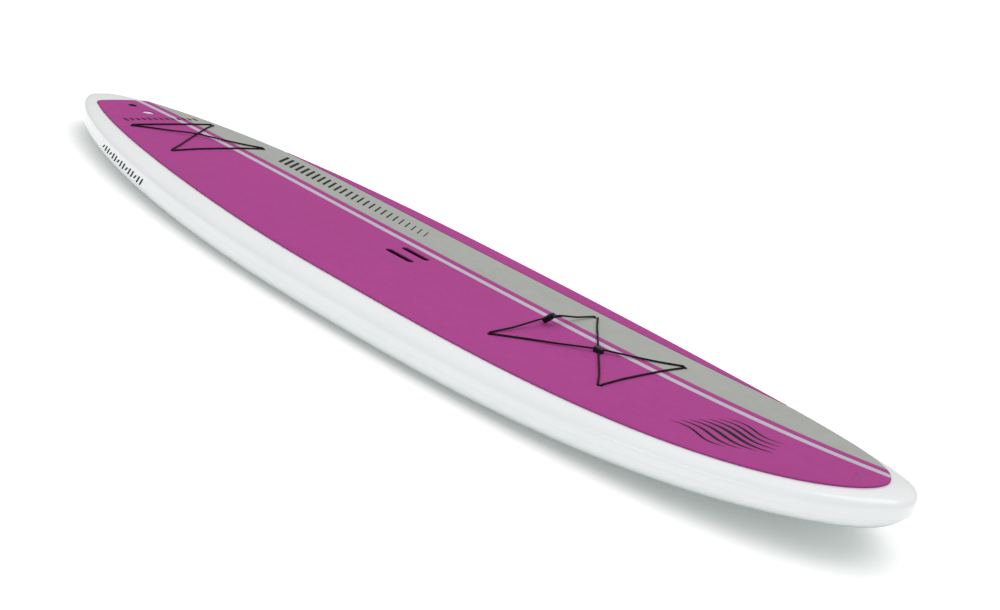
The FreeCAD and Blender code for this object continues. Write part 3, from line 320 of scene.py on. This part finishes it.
def timber(name):
    """Light paulownia spine: long grain bands with pores."""
    s = Shading(name, 0.6, 0.35)
    grain = s.noise(16, 6, 0.65, source=s.scaled(0.06, 1, 1))
    pores = s.noise(2.2, 3, 0.7, source=s.scaled(0.05, 1, 1))
    tone = s.blend(s.span(grain, 0.3, 0.7, 0, 1), (0.36, 0.22, 0.11), (0.60, 0.43, 0.25))
    s.colour(s.blend(s.span(pores, 0.62, 0.72, 0, 0.6), tone, (0.2, 0.11, 0.05)))
    s.bump(pores, 0.12, 0.5)
    return s.material


def bead_foam(name):
    """Expanded polystyrene: packed beads, cut flat."""
    s = Shading(name, 0.85, 0.3)
    beads = s.cells(3.6)
    # Darker towards the edge of each bead, where the bump sinks between beads: painted shade in the creases.
    s.colour(s.blend(s.span(beads, 0.1, 0.6, 0, 1), (0.84, 0.84, 0.82), (0.66, 0.66, 0.64)))
    s.bump(s.span(beads, 0.0, 0.6, 1, 0), 0.5, 0.6)
    return s.material


def braided(name, radius):
    """Woven sleeve of a shock cord: two crossing sets of yarns, drawn in the tube's own UVs in mm."""
    s = Shading(name, 0.7, 0.1)
    parts = s.nodes.new("ShaderNodeSeparateXYZ")
    s.put(parts, "Vector", s.coordinates.outputs["UV"])
    yarns, pitch = 8, 2 * math.pi / 3.4
    length = s.math("MULTIPLY", parts.outputs["X"], pitch)
    turn = s.math("MULTIPLY", parts.outputs["Y"], yarns / radius)
    left = s.math("SINE", s.math("ADD", length, turn))
    right = s.math("SINE", s.math("SUBTRACT", length, turn))
    weave = s.span(s.math("MAXIMUM", left, right), -0.4, 1.0, 0, 1)
    over = s.span(s.math("MULTIPLY", left, right), -0.5, 0.5, 0, 1)
    yarn = s.blend(over, (0.010, 0.010, 0.011), (0.018, 0.018, 0.020))
    # The gaps between the yarns, where the bump sinks, are coloured darker still: painted shade in the gaps.
    s.colour(s.blend(weave, (0.003, 0.003, 0.004), yarn))
    s.bump(weave, 0.32, 0.8)
    s.bump(s.noise(0.3, 2), 0.05, 0.4)
    return s.material


def ink(name, colour):
    """Matt screen print: thin, slightly uneven."""
    s = Shading(name, 0.75, 0.06)
    patchy = s.span(s.noise(3, 5, 0.7), 0.35, 0.65, 0, 1)
    s.colour(s.blend(patchy, tinted(colour, 0.8), tinted(colour, 1.25)))
    s.rough(0.5, 0.72, 4)
    s.bump(s.noise(0.8, 3), 0.03, 0.5)
    return s.material


MAGENTA = (0.388, 0.058, 0.256)
BAND_GREY = (0.385, 0.398, 0.368)
PALE_LILAC = (0.50, 0.465, 0.53)
CORD_RADIUS = 2.5

MATERIALS = {
    "magenta": eva_foam("eva_magenta", MAGENTA),
    "grey": eva_foam("eva_grey", BAND_GREY),
    "pale": eva_foam("eva_pale_lilac", PALE_LILAC),
    "shell": gloss_shell("gloss_laminate"),
    "black": moulded("black_nylon", (0.010, 0.010, 0.011), 0.45, 0.9, 0.2),
    "tub": moulded("black_tub", (0.006, 0.006, 0.007), 0.6, 1.3, 0.12),
    "white": moulded("white_nylon", (0.74, 0.75, 0.75), 0.38),
    "fin_box": moulded("white_fin_box", (0.62, 0.63, 0.63), 0.45),
    "cap": moulded("magenta_cap", (0.35, 0.05, 0.23), 0.45, 0.9, 0.18),
    "steel": metal("stainless_steel", (0.58, 0.58, 0.57)),
    "spring": metal("spring_wire", (0.5, 0.5, 0.49), 0.3, 4.0),
    "brass": metal("brass_plate", (0.62, 0.44, 0.17), 0.3),
    "seal": rubber("rubber_seal", (0.018, 0.018, 0.018)),
    "spine": timber("paulownia"),
    "foam": bead_foam("bead_foam"),
    "cord": braided("braided_sleeve", CORD_RADIUS),
    "ink": ink("dark_ink", (0.012, 0.014, 0.013)),
}

NODE_MATERIALS = {
    "foam_core_port": "foam", "foam_core_starboard": "foam", "stringer": "spine",
    "bottom_skin": "shell", "tail_bottom_skin": "shell", "deck_skin": "shell",
    "deck_pad_main": "magenta", "deck_pad_pinstripe": "pale", "deck_pad_thin_stripe": "magenta",
    "deck_pad_grey_band": "grey", "deck_pad_port_panel": "magenta",
    "handle_tub": "tub", "nose_bungee_inserts": "white", "tail_bungee_inserts": "white",
    "nose_bungee_pins": "steel", "tail_bungee_pins": "steel",
    "nose_bungee_cord": "cord", "tail_bungee_cord": "cord",
    "cord_lock_barrel": "black", "cord_lock_button": "black", "cord_lock_spring": "spring",
    "bungee_crossing_clip": "black", "leash_cup": "black", "leash_bezel": "black", "leash_bar": "steel",
    "vent_body": "white", "vent_oring": "seal", "vent_screw": "white",
    "nose_plug_body": "cap", "nose_plug_cap": "cap",
    "fin_box": "fin_box", "fin_nut_plate": "brass", "fin_screw": "steel",
}
for node, thing in NODES.items():
    thing.data.materials.clear()
    thing.data.materials.append(MATERIALS[NODE_MATERIALS[node]])


# ---------------------------------------------------------------- making pieces

def piece(name, points, faces, material, smooth=True):
    """Mesh object from points in millimetres, riding on the board."""
    mesh = bpy.data.meshes.new(name)
    mesh.from_pydata([tuple(float(c) * MM for c in p) for p in points], [], faces)
    mesh.materials.append(MATERIALS[material])
    mesh.polygons.foreach_set("use_smooth", [smooth] * len(mesh.polygons))
    mesh.validate()
    thing = bpy.data.objects.new(name, mesh)
    bpy.context.scene.collection.objects.link(thing)
    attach(thing, "board")
    return thing


# ---------------------------------------------------------------- deck pad panels

PAD = 5.0
PAD_HALF_WIDTH = 344.0
PAD_NOSE_X, PAD_TAIL_X, PAD_TAIL_CLOSE_X = 1529.0, -1454.0, -1560.0
PAD_CORNER = 24.0
EDGE_ROUND = 1.3
SUNK = 0.5


def pad_half_width(x):
    fore = (1 - share(x, WIDEST_X, PAD_NOSE_X) ** 2.9) ** 0.51
    aft = (1 - share(x, WIDEST_X, PAD_TAIL_CLOSE_X) ** 1.8) ** 0.6
    return PAD_HALF_WIDTH * np.where(x >= WIDEST_X, fore, aft)


def pad_outline():
    """Pad edge, counter-clockwise from above: nose round, tail straight with round corners."""
    turns = np.linspace(0, math.pi / 2, 190)
    x = PAD_TAIL_X + (PAD_NOSE_X - PAD_TAIL_X) * np.sin(turns)
    port = [(float(a), float(b)) for a, b in zip(x, pad_half_width(x))]
    corner_y = float(pad_half_width(PAD_TAIL_X + PAD_CORNER)) - PAD_CORNER
    corner = []
    for i in range(9):
        turn = math.pi / 2 + math.pi / 2 * i / 8
        corner_x = PAD_TAIL_X + PAD_CORNER * (1 + math.cos(turn))
        corner.append((corner_x, corner_y + PAD_CORNER * math.sin(turn)))
    port = [p for p in port if p[0] > PAD_TAIL_X + PAD_CORNER + 1]
    loop = port[::-1] + corner
    return [(a, -b) for a, b in loop[::-1]][:-1] + loop


def kept_side(loop, level, above):
    """The loop's part with y above or below the level."""
    kept = []
    for a, b in zip(loop, loop[1:] + loop[:1]):
        inside_a, inside_b = (a[1] >= level) == above, (b[1] >= level) == above
        if inside_a:
            kept.append(a)
        if inside_a != inside_b:
            t = (level - a[1]) / (b[1] - a[1])
            kept.append((a[0] + (b[0] - a[0]) * t, level))
    return kept


def spread(loop, longest):
    """The loop with points added so that no side is longer than that, and without very short sides."""
    out = []
    for a, b in zip(loop, loop[1:] + loop[:1]):
        gap = math.dist(a, b)
        if gap < 0.05:
            continue
        steps = max(1, math.ceil(gap / longest))
        out += [(a[0] + (b[0] - a[0]) * i / steps, a[1] + (b[1] - a[1]) * i / steps) for i in range(steps)]
    return out


def shifted(loop, inward):
    """The counter-clockwise loop moved inward, corners kept sharp up to a limit."""
    out = []
    for before, here, after in zip(loop[-1:] + loop[:-1], loop, loop[1:] + loop[:1]):
        one = Vector((here[0] - before[0], here[1] - before[1])).normalized()
        two = Vector((after[0] - here[0], after[1] - here[1])).normalized()
        normal = Vector((-one.y - two.y, one.x + two.x))
        if normal.length < 1e-6:
            normal = Vector((-one.y, one.x))
        normal.normalize()
        reach = inward / max(0.35, normal.dot(Vector((-one.y, one.x))))
        out.append((here[0] + normal.x * reach, here[1] + normal.y * reach))
    return out


EDGE_STEPS = 4
EDGE = [(0.0, -SUNK), (0.0, PAD - EDGE_ROUND)]
for step in range(1, EDGE_STEPS + 1):
    bend = math.pi / 2 * step / EDGE_STEPS
    EDGE.append((EDGE_ROUND * (1 - math.cos(bend)), PAD - EDGE_ROUND * (1 - math.sin(bend))))
EDGE.append((EDGE_ROUND + 0.7, PAD))
GRID_X, GRID_Y, GRID_CLEAR = 15.0, 11.0, 7.0
EDGE_SPACING, HOLE_SPACING = 9.0, 6.0


def covered(loops, low, high):
    """Triangles over the first loop less the others, with a grid of points inside."""
    points, sides, faces = [], [], []
    for loop in loops:
        first = len(points)
        points += [Vector(p) for p in loop]
        ring = list(range(first, len(points)))
        sides += list(zip(ring, ring[1:] + ring[:1]))
        faces.append(ring)
    border = len(points)
    near = np.array([tuple(p) for p in points])
    for i, x in enumerate(np.arange(low[0] + GRID_X / 2, high[0], GRID_X)):
        row = np.arange(low[1] + GRID_Y / 2 + (i % 2) * GRID_Y / 2, high[1], GRID_Y)
        for y in row:
            if np.min(np.abs(near[:, 0] - x) + np.abs(near[:, 1] - y)) > GRID_CLEAR:
                points.append(Vector((float(x), float(y))))
    made, _, triangles, sources, _, _ = delaunay_2d_cdt(points, sides, faces, 1, 1e-5)
    return made, triangles, sources, border


def winding(loop, x, y):
    """Whether the point lies inside the loop."""
    inside = False
    for a, b in zip(loop, loop[1:] + loop[:1]):
        if (a[1] > y) != (b[1] > y) and x < a[0] + (b[0] - a[0]) * (y - a[1]) / (b[1] - a[1]):
            inside = not inside
    return inside


def panel(name, low_y, high_y, material, holes):
    """One foam panel: flat top on the deck's curve, edges and holes rounded over, closed below."""
    loop = kept_side(kept_side(PAD_LOOP, low_y, True), high_y, False)
    loops = [spread(loop, EDGE_SPACING)] + [spread(hole, HOLE_SPACING) for hole in holes]
    plan, heights, faces = [], [], []
    starts = []
    for ring in loops:
        rows = []
        for inward, height in EDGE:
            moved = shifted(ring, inward)
            rows.append(len(plan))
            plan += moved
            heights += [height] * len(moved)
        count = len(ring)
        starts.append(rows)
        for low, high in zip(rows, rows[1:]):
            for i in range(count):
                j = (i + 1) % count
                faces.append((low + i, low + j, high + j, high + i))
    corner_low = (min(p[0] for p in loop), low_y if low_y > -BEAM else -PAD_HALF_WIDTH)
    corner_high = (max(p[0] for p in loop), high_y if high_y < BEAM else PAD_HALF_WIDTH)
    for level, height, upward in ((-1, PAD, True), (0, -SUNK, False)):
        edges = [plan[rows[level]:rows[level] + len(ring)] for rows, ring in zip(starts, loops)]
        owners = [rows[level] + i for rows, ring in zip(starts, loops) for i in range(len(ring))]
        made, triangles, sources, border = covered(edges, corner_low, corner_high)
        index = []
        for point, source in zip(made, sources):
            old = [s for s in source if s < border]
            if old:
                index.append(owners[old[0]])
            else:
                index.append(len(plan))
                plan.append((point.x, point.y))
                heights.append(height)
        for triangle in triangles:
            middle = sum((made[i] for i in triangle), Vector((0, 0))) / 3
            if any(winding(edge, middle.x, middle.y) for edge in edges[1:]):
                continue
            corners = [index[i] for i in triangle]
            faces.append(tuple(corners if upward else corners[::-1]))
    flat = np.array(plan)
    points = over_deck(flat[:, 0], flat[:, 1], np.array(heights))
    thing = piece(name, points, faces, material)
    return thing


def round_hole(x, y, radius, count=40):
    """Clockwise circle, so that moving it inward opens the hole at the top."""
    turns = [-2 * math.pi * i / count for i in range(count)]
    return [(x + radius * math.cos(turn), y + radius * math.sin(turn)) for turn in turns]


def long_hole(x, y, length, width, count=14):
    """Clockwise slot along X with round ends."""
    radius, reach = width / 2, (length - width) / 2
    loop = []
    for end, start in ((1, math.pi / 2), (-1, -math.pi / 2)):
        for i in range(count + 1):
            turn = start - math.pi * i / count
            loop.append((x + end * reach + radius * math.cos(turn), y + radius * math.sin(turn)))
    return loop


def middle_of(node):
    low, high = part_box(node)
    return (low + high) / (2 * MM)


LEASH, VENT, PLUG = (middle_of(node) for node in ("leash_bezel", "vent_screw", "nose_plug_cap"))
HANDLE = middle_of("handle_tub")
NOSE_AFT, NOSE_FORE = (519.0, 212.0), (852.0, 174.0)
TAIL_AFT, TAIL_FORE = (-1158.0, 157.0), (-904.0, 177.0)
WELL, LEASH_HOLE, VENT_HOLE, PLUG_HOLE = 7.2, 14.6, 19.8, 13.2
SLOT_OFFSET, SLOT_LENGTH, SLOT_WIDTH = 31, 106, 24
INSERT_SPOTS = [(x, y * side) for x, y in (NOSE_AFT, NOSE_FORE, TAIL_AFT, TAIL_FORE) for side in (-1, 1)]
FITTING_HOLES = [round_hole(x, y, WELL) for x, y in INSERT_SPOTS]
FITTING_HOLES.append(round_hole(LEASH.x, LEASH.y, LEASH_HOLE))
FITTING_HOLES.append(round_hole(VENT.x, VENT.y, VENT_HOLE, 56))
FITTING_HOLES.append(round_hole(PLUG.x, PLUG.y, PLUG_HOLE))
for side in (-1, 1):
    FITTING_HOLES.append(long_hole(HANDLE.x, HANDLE.y + side * SLOT_OFFSET, SLOT_LENGTH, SLOT_WIDTH))

PAD_LOOP = pad_outline()
JOINT, GROOVE = 0.4, 2.25
PIN_LOW, PIN_HIGH, BAND_LOW, BAND_HIGH = 49, 72, 98, 262
PANELS = [
    ("deck_pad_main", -BEAM, PIN_LOW - JOINT, "magenta", "pad_magenta"),
    ("deck_pad_pinstripe", PIN_LOW + JOINT, PIN_HIGH - JOINT, "pale", "pad_pale"),
    ("deck_pad_thin_stripe", PIN_HIGH + JOINT, BAND_LOW - GROOVE, "magenta", "pad_magenta"),
    ("deck_pad_grey_band", BAND_LOW, BAND_HIGH - GROOVE, "grey", "pad_grey"),
    ("deck_pad_port_panel", BAND_HIGH + GROOVE, BEAM, "magenta", "pad_magenta"),
]
for node, low_y, high_y, material, slot in PANELS:
    own = [hole for hole in FITTING_HOLES if low_y < sum(p[1] for p in hole) / len(hole) < high_y]
    foam = panel(node + "_foam", low_y, high_y, material, own)
    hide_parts(node)


# ---------------------------------------------------------------- shock cords

PIN_DEPTH = 6.5
CORD_BEND = 4.2
LIE = 3.2
RIM_BEND = 3.6
NEARLY = 0.01
GENTLE = 120.0
HOP = 2 * CORD_RADIUS + 0.4
INSERT_SINK = 0.3


def normal_of(x, y):
    low, high = over_deck([x, x], [y, y], [0.0, 10.0])
    return Vector(high - low).normalized()


class Anchor:
    """One bungee insert and the way its pin lies between its two strands."""

    def __init__(self, x, y):
        self.x, self.y = x, y

    def aim(self, before, after):
        came = Vector((before.x - self.x, before.y - self.y, 0)).normalized()
        goes = Vector((after.x - self.x, after.y - self.y, 0)).normalized()
        heading = (came + goes).normalized()
        self.up = normal_of(self.x, self.y)
        flat = Vector((heading.y, -heading.x, 0))
        tilt = Vector((0, 0, 1)).rotation_difference(self.up)
        side = tilt @ flat
        self.side = side if side.dot(came) > 0 else -side
        self.base = Vector(over_deck(self.x, self.y, -INSERT_SINK))

    def spot(self, sideways, height):
        return self.base + self.side * sideways + self.up * height


def bungee_loop(aft, fore):
    loop = [Anchor(x, side * y) for x, y in (aft, fore) for side in (-1, 1)]
    for i, anchor in enumerate(loop):
        anchor.aim(loop[i - 1], loop[(i + 1) % 4])
    return loop


def above_pad(x, y, height):
    return Vector((x, y, float(deck_height(x, y)) + PAD + height))


def resting(a, b, shares, height):
    return [above_pad(a.x + (b.x - a.x) * t, a.y + (b.y - a.y) * t, height) for t in shares]


def dip(anchor):
    """Over the rim, down one side of the pin, under it and up."""
    low, high = -PIN_DEPTH - CORD_BEND, PAD + LIE
    corners = ((CORD_BEND, high), (CORD_BEND, low), (-CORD_BEND, low), (-CORD_BEND, high))
    spots = [anchor.spot(side, height) for side, height in corners]
    return spots, [RIM_BEND, CORD_BEND - NEARLY, CORD_BEND - NEARLY, RIM_BEND]


def crossing_share(a, b, c, d):
    turn = (b.x - a.x) * (d.y - c.y) - (b.y - a.y) * (d.x - c.x)
    return ((c.x - a.x) * (d.y - c.y) - (c.y - a.y) * (d.x - c.x)) / turn


def diagonal(a, b, c, d, height):
    """From a to b, at height above the pad where it meets the line c to d."""
    meet = crossing_share(a, b, c, d)
    flat = 18.0 / math.hypot(b.x - a.x, b.y - a.y)
    halfway = LIE + (height - LIE) * 0.3
    points = resting(a, b, [meet * 0.3], LIE) + resting(a, b, [meet * 0.62], halfway)
    points += resting(a, b, [meet - flat, meet + flat], height)
    points += resting(a, b, [meet + (1 - meet) * 0.38], halfway)
    points += resting(a, b, [meet + (1 - meet) * 0.7], LIE)
    return points, [GENTLE] * len(points)


def straight_across(a, b):
    return resting(a, b, [0.25, 0.5, 0.75], LIE), [GENTLE] * 3


def tail_route():
    a, b, c, d = bungee_loop(TAIL_AFT, TAIL_FORE)
    under = -PIN_DEPTH - CORD_BEND
    spots, bends = dip(a)
    way, turns = straight_across(a, b)
    points, radii = [a.spot(-0.8, under)] + spots[2:] + way, bends[2:] + turns
    runs = [(b, diagonal(b, c, d, a, LIE)), (c, straight_across(c, d)), (d, diagonal(d, a, b, c, LIE + HOP))]
    for anchor, (way, turns) in runs:
        spots, bends = dip(anchor)
        points += spots + way
        radii += bends + turns
    spots, bends = dip(a)
    return points + spots[:2] + [a.spot(0.8, under)], radii + bends[:2]


LOCK_TILT, LOCK_Y, LOCK_HEIGHT = 45.0, 4.0, 18.0
LOW_HOLE_DROP, HIGH_HOLE_DROP = -1.5, -10.5
FREE_END, STRAIGHT_RUN, CLAMPED_END = 62, 34, -14


def nose_route():
    """From the free end beside the lock, round the four inserts, to just through the lock's upper hole."""
    a, b, c, d = bungee_loop(NOSE_AFT, NOSE_FORE)
    base = above_pad(NOSE_AFT[0], LOCK_Y, LOCK_HEIGHT)
    tilt = Matrix.Rotation(math.radians(LOCK_TILT), 3, "Y")

    def in_lock(drop, y):
        return base + tilt @ Vector((0, y, -drop))

    points = [in_lock(LOW_HOLE_DROP, y) for y in (FREE_END, STRAIGHT_RUN, -STRAIGHT_RUN)]
    points += resting(b, a, [0.8], LIE + 4)
    spots, bends = dip(a)
    radii = [GENTLE] * 3 + bends[::-1]
    points += spots[::-1]
    runs = [(d, diagonal(a, d, b, c, LIE + HOP)), (c, straight_across(d, c)), (b, diagonal(c, b, d, a, LIE))]
    for anchor, (way, turns) in runs:
        spots, bends = dip(anchor)
        points += way + spots[::-1]
        radii += turns + bends[::-1]
    points += resting(b, a, [0.2], LIE + 6)
    points += [in_lock(HIGH_HOLE_DROP, STRAIGHT_RUN), in_lock(HIGH_HOLE_DROP, CLAMPED_END)]
    return points, radii + [GENTLE, GENTLE]


def centre_line(points, bends):
    """Straight runs joined by tangent arcs, as close-spaced points."""
    line = [points[0]]
    for before, corner, after, bend in zip(points, points[1:], points[2:], bends):
        into, out = (corner - before).normalized(), (after - corner).normalized()
        half_turn = into.angle(out) / 2
        if half_turn < 1e-4:
            continue
        shorter = min((corner - before).length, (after - corner).length)
        if bend > 10:
            bend = min(bend, 0.45 * shorter / math.tan(half_turn))
        reach = bend * math.tan(half_turn)
        inward = (out - into).normalized()
        middle = corner + inward * (bend / math.cos(half_turn))
        first = corner - into * reach
        axis = into.cross(out).normalized()
        steps = max(2, math.ceil(2 * half_turn / 0.2))
        for i in range(steps + 1):
            turn = Matrix.Rotation(2 * half_turn * i / steps, 3, axis)
            line.append(middle + turn @ (first - middle))
    line.append(points[-1])
    even = [line[0]]
    for here, there in zip(line, line[1:]):
        gap = (there - here).length
        if gap < 1e-3:
            continue
        count = max(1, math.ceil(gap / 12.0))
        even += [here.lerp(there, i / count) for i in range(1, count + 1)]
    return even


AROUND = 16
BLUNT_TIP, BLUNT_BACK, BLUNT_REACH = 0.72, 0.98, 0.7


def sleeve(name, line, node, blunt):
    """Round tube along the line with UVs in millimetres; when blunt, its ends are heat-cut and rounded."""
    headings = [(b - a).normalized() for a, b in zip(line, line[1:])]
    between = [(a + b).normalized() for a, b in zip(headings, headings[1:])]
    directions = [headings[0]] + between + [headings[-1]]
    side = directions[0].orthogonal().normalized()
    travelled, places = 0.0, []
    for i, (spot, way) in enumerate(zip(line, directions)):
        if i:
            travelled += (spot - line[i - 1]).length
            side = (directions[i - 1].rotation_difference(way) @ side).normalized()
            side = (side - way * side.dot(way)).normalized()
        places.append((spot, way, side.copy(), travelled, CORD_RADIUS))
    if blunt:
        spot, way, aside, at, _ = places[0]
        places[0] = (spot, way, aside, at, CORD_RADIUS * BLUNT_TIP)
        places.insert(1, (spot + way * BLUNT_REACH, way, aside, at + BLUNT_REACH, CORD_RADIUS * BLUNT_BACK))
        spot, way, aside, at, _ = places[-1]
        places[-1] = (spot, way, aside, at, CORD_RADIUS * BLUNT_TIP)
        places.insert(-1, (spot - way * BLUNT_REACH, way, aside, at - BLUNT_REACH, CORD_RADIUS * BLUNT_BACK))
    points, faces, corners = [], [], []
    for spot, way, aside, at, radius in places:
        lift = way.cross(aside)
        for k in range(AROUND):
            turn = 2 * math.pi * k / AROUND
            points.append(spot + aside * radius * math.cos(turn) + lift * radius * math.sin(turn))
    for i in range(len(places) - 1):
        for k in range(AROUND):
            m = (k + 1) % AROUND
            faces.append((i * AROUND + k, i * AROUND + m, (i + 1) * AROUND + m, (i + 1) * AROUND + k))
            low, high = places[i][3], places[i + 1][3]
            here, there = (2 * math.pi * j / AROUND * CORD_RADIUS for j in (k, k + 1))
            corners += [(low, here), (low, there), (high, there), (high, here)]
    last = (len(places) - 1) * AROUND
    faces.append(tuple(range(AROUND - 1, -1, -1)))
    faces.append(tuple(range(last, last + AROUND)))
    corners += [(0.0, 0.0)] * (2 * AROUND)
    thing = piece(name, points, faces, "cord")
    layer = thing.data.uv_layers.new(name="sleeve")
    layer.data.foreach_set("uv", [c for corner in corners for c in corner])
    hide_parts(node)


sleeve("tail_bungee_sleeve", centre_line(*tail_route()), "tail_bungee_cord", False)
sleeve("nose_bungee_sleeve", centre_line(*nose_route()), "nose_bungee_cord", True)


# ---------------------------------------------------------------- cord lock spring

def closing_spring():
    """The coil as a piece of its own, riding on the cord lock; it is not made to close up. On the real lock
    it closes by the button's travel when the button is pressed.
    """
    coil = bpy.data.objects.new("cord_lock_spring_coil", NODES["cord_lock_spring"].data.copy())
    bpy.context.scene.collection.objects.link(coil)
    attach(coil, "cord_lock")
    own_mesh(coil)
    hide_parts("cord_lock_spring")


closing_spring()


# ---------------------------------------------------------------- printed marks

INK_LOW, INK_HIGH = -0.05, 0.14


def printed(name, patches, surface, lift):
    """Thin ink layer: each patch is a grid of (u, v) rows laid on the surface."""
    points, faces = [], []
    for rows in patches:
        grid = np.array(rows, float)
        deep, wide = grid.shape[:2]
        first = len(points)
        for height in (lift + INK_HIGH, lift + INK_LOW):
            points += list(surface(grid[..., 0].ravel(), grid[..., 1].ravel(), height))

        def at(i, j, low=0):
            return first + low * deep * wide + i * wide + j

        for i in range(deep - 1):
            for j in range(wide - 1):
                faces.append((at(i, j), at(i + 1, j), at(i + 1, j + 1), at(i, j + 1)))
                faces.append((at(i, j, 1), at(i, j + 1, 1), at(i + 1, j + 1, 1), at(i + 1, j, 1)))
        border = [(i, 0) for i in range(deep)] + [(deep - 1, j) for j in range(1, wide)]
        border += [(i, wide - 1) for i in range(deep - 2, -1, -1)] + [(0, j) for j in range(wide - 2, 0, -1)]
        for one, two in zip(border, border[1:] + border[:1]):
            faces.append((at(*one), at(*one, 1), at(*two, 1), at(*two)))
    piece(name, points, faces, "ink", smooth=False)


def slanted_bar(x, y, length, height, slant, across=5, along=4):
    """Parallelogram: length along X, height along Y, its top moved by slant."""
    rows = []
    for i in range(across):
        up = i / (across - 1) - 0.5
        shares = [j / (along - 1) - 0.5 for j in range(along)]
        rows.append([(x + length * part + slant * up, y + height * up) for part in shares])
    return rows


def tapered(start, reach, sway, width, count=30):
    """Brush stroke along X, bent once up and once down, widest in the middle and thin at both ends."""
    rows = []
    for i in range(count):
        t = i / (count - 1)
        spot = start + Vector((reach * t, sway * math.sin(2 * math.pi * t)))
        way = Vector((reach, sway * 2 * math.pi * math.cos(2 * math.pi * t))).normalized()
        half = width * (math.sin(math.pi * t) ** 0.8 + 0.08) / 2
        aside = Vector((-way.y, way.x)) * half
        rows.append([tuple(spot + aside), tuple(spot), tuple(spot - aside)])
    return rows


def band_row():
    """Row of slanted bars along the grey band, growing thinner towards the nose."""
    start, reach, count = -812.0, 700.0, 26
    low_y, high_y = 140.0, 216.0
    thick, thinning, lowering, lean = 13.5, 9.5, 0.35, -0.6
    height = high_y - low_y
    patches = []
    for i in range(count):
        t = i / (count - 1)
        x = start + reach * (i + 0.5) / count
        shorter = 1 - lowering * t
        patches.append(slanted_bar(x, (low_y + high_y) / 2, thick - thinning * t, height * shorter,
                                   lean * height * shorter))
    return patches


printed("band_marks", band_row(), over_deck, PAD)


def tail_row():
    """Short dashes across the tail of the pad."""
    count, reach, row_x, row_y = 13, 292, -1225, -147
    short, long, width = 22, 28, 11
    return [slanted_bar(row_x, row_y + reach * (i + 0.5) / count, short if i % 4 else long, width, 0, 3, 3)
            for i in range(count)]


printed("tail_marks", tail_row(), over_deck, PAD)


def rail_row():
    """Slanted bars on the starboard tail rail, in rail angle."""
    count, start, reach = 15, -1140.0, 335.0
    low, high = math.radians(-12), math.radians(6)
    middle, height = (low + high) / 2, high - low
    thick, lean, short = 9, 16, 0.6
    patches = []
    for i in range(count):
        x = start + reach * (i + 0.5) / count
        tall = height * (1.0 if i % 3 else short)
        patches.append(slanted_bar(x, middle, thick, tall, lean, along=3))
    return patches


printed("rail_marks", rail_row(), over_rail, 0.0)


def nose_waves():
    """Even stack of wavy strokes near the nose, like ripples on water."""
    count, sway = 7, 11
    strokes = []
    for i in range(count):
        from_middle = abs(i - count // 2)
        start = Vector((1062 + 9 * i, -168 + 26 * i))
        strokes.append(tapered(start, 206 - 16 * from_middle, sway, 12.5 - from_middle * 1.6))
    return strokes


printed("nose_marks", nose_waves(), over_deck, PAD)


# ---------------------------------------------------------------- floor, light, camera

def floor_material():
    s = Shading("studio_floor", 1.0, 0.0)
    s.colour(s.blend(s.span(s.noise(900, 3), 0.3, 0.7, 0, 1), (0.93, 0.93, 0.935), (0.95, 0.95, 0.95)))
    s.put(s.shader, "Emission Color", (1, 1, 1, 1))
    s.put(s.shader, "Emission Strength", 0.2)
    return s.material


def studio_floor():
    reach = 260.0
    mesh = bpy.data.meshes.new("studio_floor")
    mesh.from_pydata([(-reach, -reach, 0), (reach, -reach, 0), (reach, reach, 0), (-reach, reach, 0)], [],
                     [(0, 1, 2, 3)])
    mesh.materials.append(floor_material())
    thing = bpy.data.objects.new("studio_floor", mesh)
    thing.location = (0, 0, -0.0005)
    bpy.context.scene.collection.objects.link(thing)


def soft_box(name, spot, aim, length, width, power):
    data = bpy.data.lights.new(name, "AREA")
    data.shape = "RECTANGLE"
    data.size, data.size_y, data.energy = length, width, power
    lamp = bpy.data.objects.new(name, data)
    lamp.location = spot
    lamp.rotation_euler = (Vector(aim) - Vector(spot)).to_track_quat("-Z", "Y").to_euler()
    bpy.context.scene.collection.objects.link(lamp)


def studio():
    studio_floor()
    world = bpy.data.worlds.new("studio")
    bpy.context.scene.world = world
    world.use_nodes = True
    nodes, links = world.node_tree.nodes, world.node_tree.links
    way = nodes.new("ShaderNodeTexCoord")
    parts = nodes.new("ShaderNodeSeparateXYZ")
    dome = nodes.new("ShaderNodeMapRange")
    links.new(way.outputs["Generated"], parts.inputs["Vector"])
    links.new(parts.outputs["Z"], dome.inputs["Value"])
    for socket, value in (("From Min", 0.0), ("From Max", 0.9), ("To Min", 0.55), ("To Max", 0.97)):
        dome.inputs[socket].default_value = value
    nodes["Background"].inputs["Color"].default_value = (1, 1, 1, 1)
    links.new(dome.outputs["Result"], nodes["Background"].inputs["Strength"])
    sun = bpy.data.lights.new("high_light", "SUN")
    sun.energy, sun.angle = 0.62, math.radians(50)
    lamp = bpy.data.objects.new("high_light", sun)
    lamp.rotation_euler = Euler((math.radians(-24), math.radians(10), 0))
    bpy.context.scene.collection.objects.link(lamp)
    soft_box("side_strip", (1.2, -4.4, 1.5), (0.2, 0, 0), 3.6, 0.3, 12)
    camera = bpy.data.objects.new("camera", bpy.data.cameras.new("camera"))
    camera.data.lens = 54.172
    camera.location = (2.75144, -2.94539, 1.38261)
    camera.rotation_euler = Euler([math.radians(v) for v in (71.0123, -13.1391, 43.5967)])
    camera.data.clip_end = 600
    bpy.context.scene.collection.objects.link(camera)
    bpy.context.scene.camera = camera
    bpy.context.scene.view_settings.view_transform = "Standard"


studio()
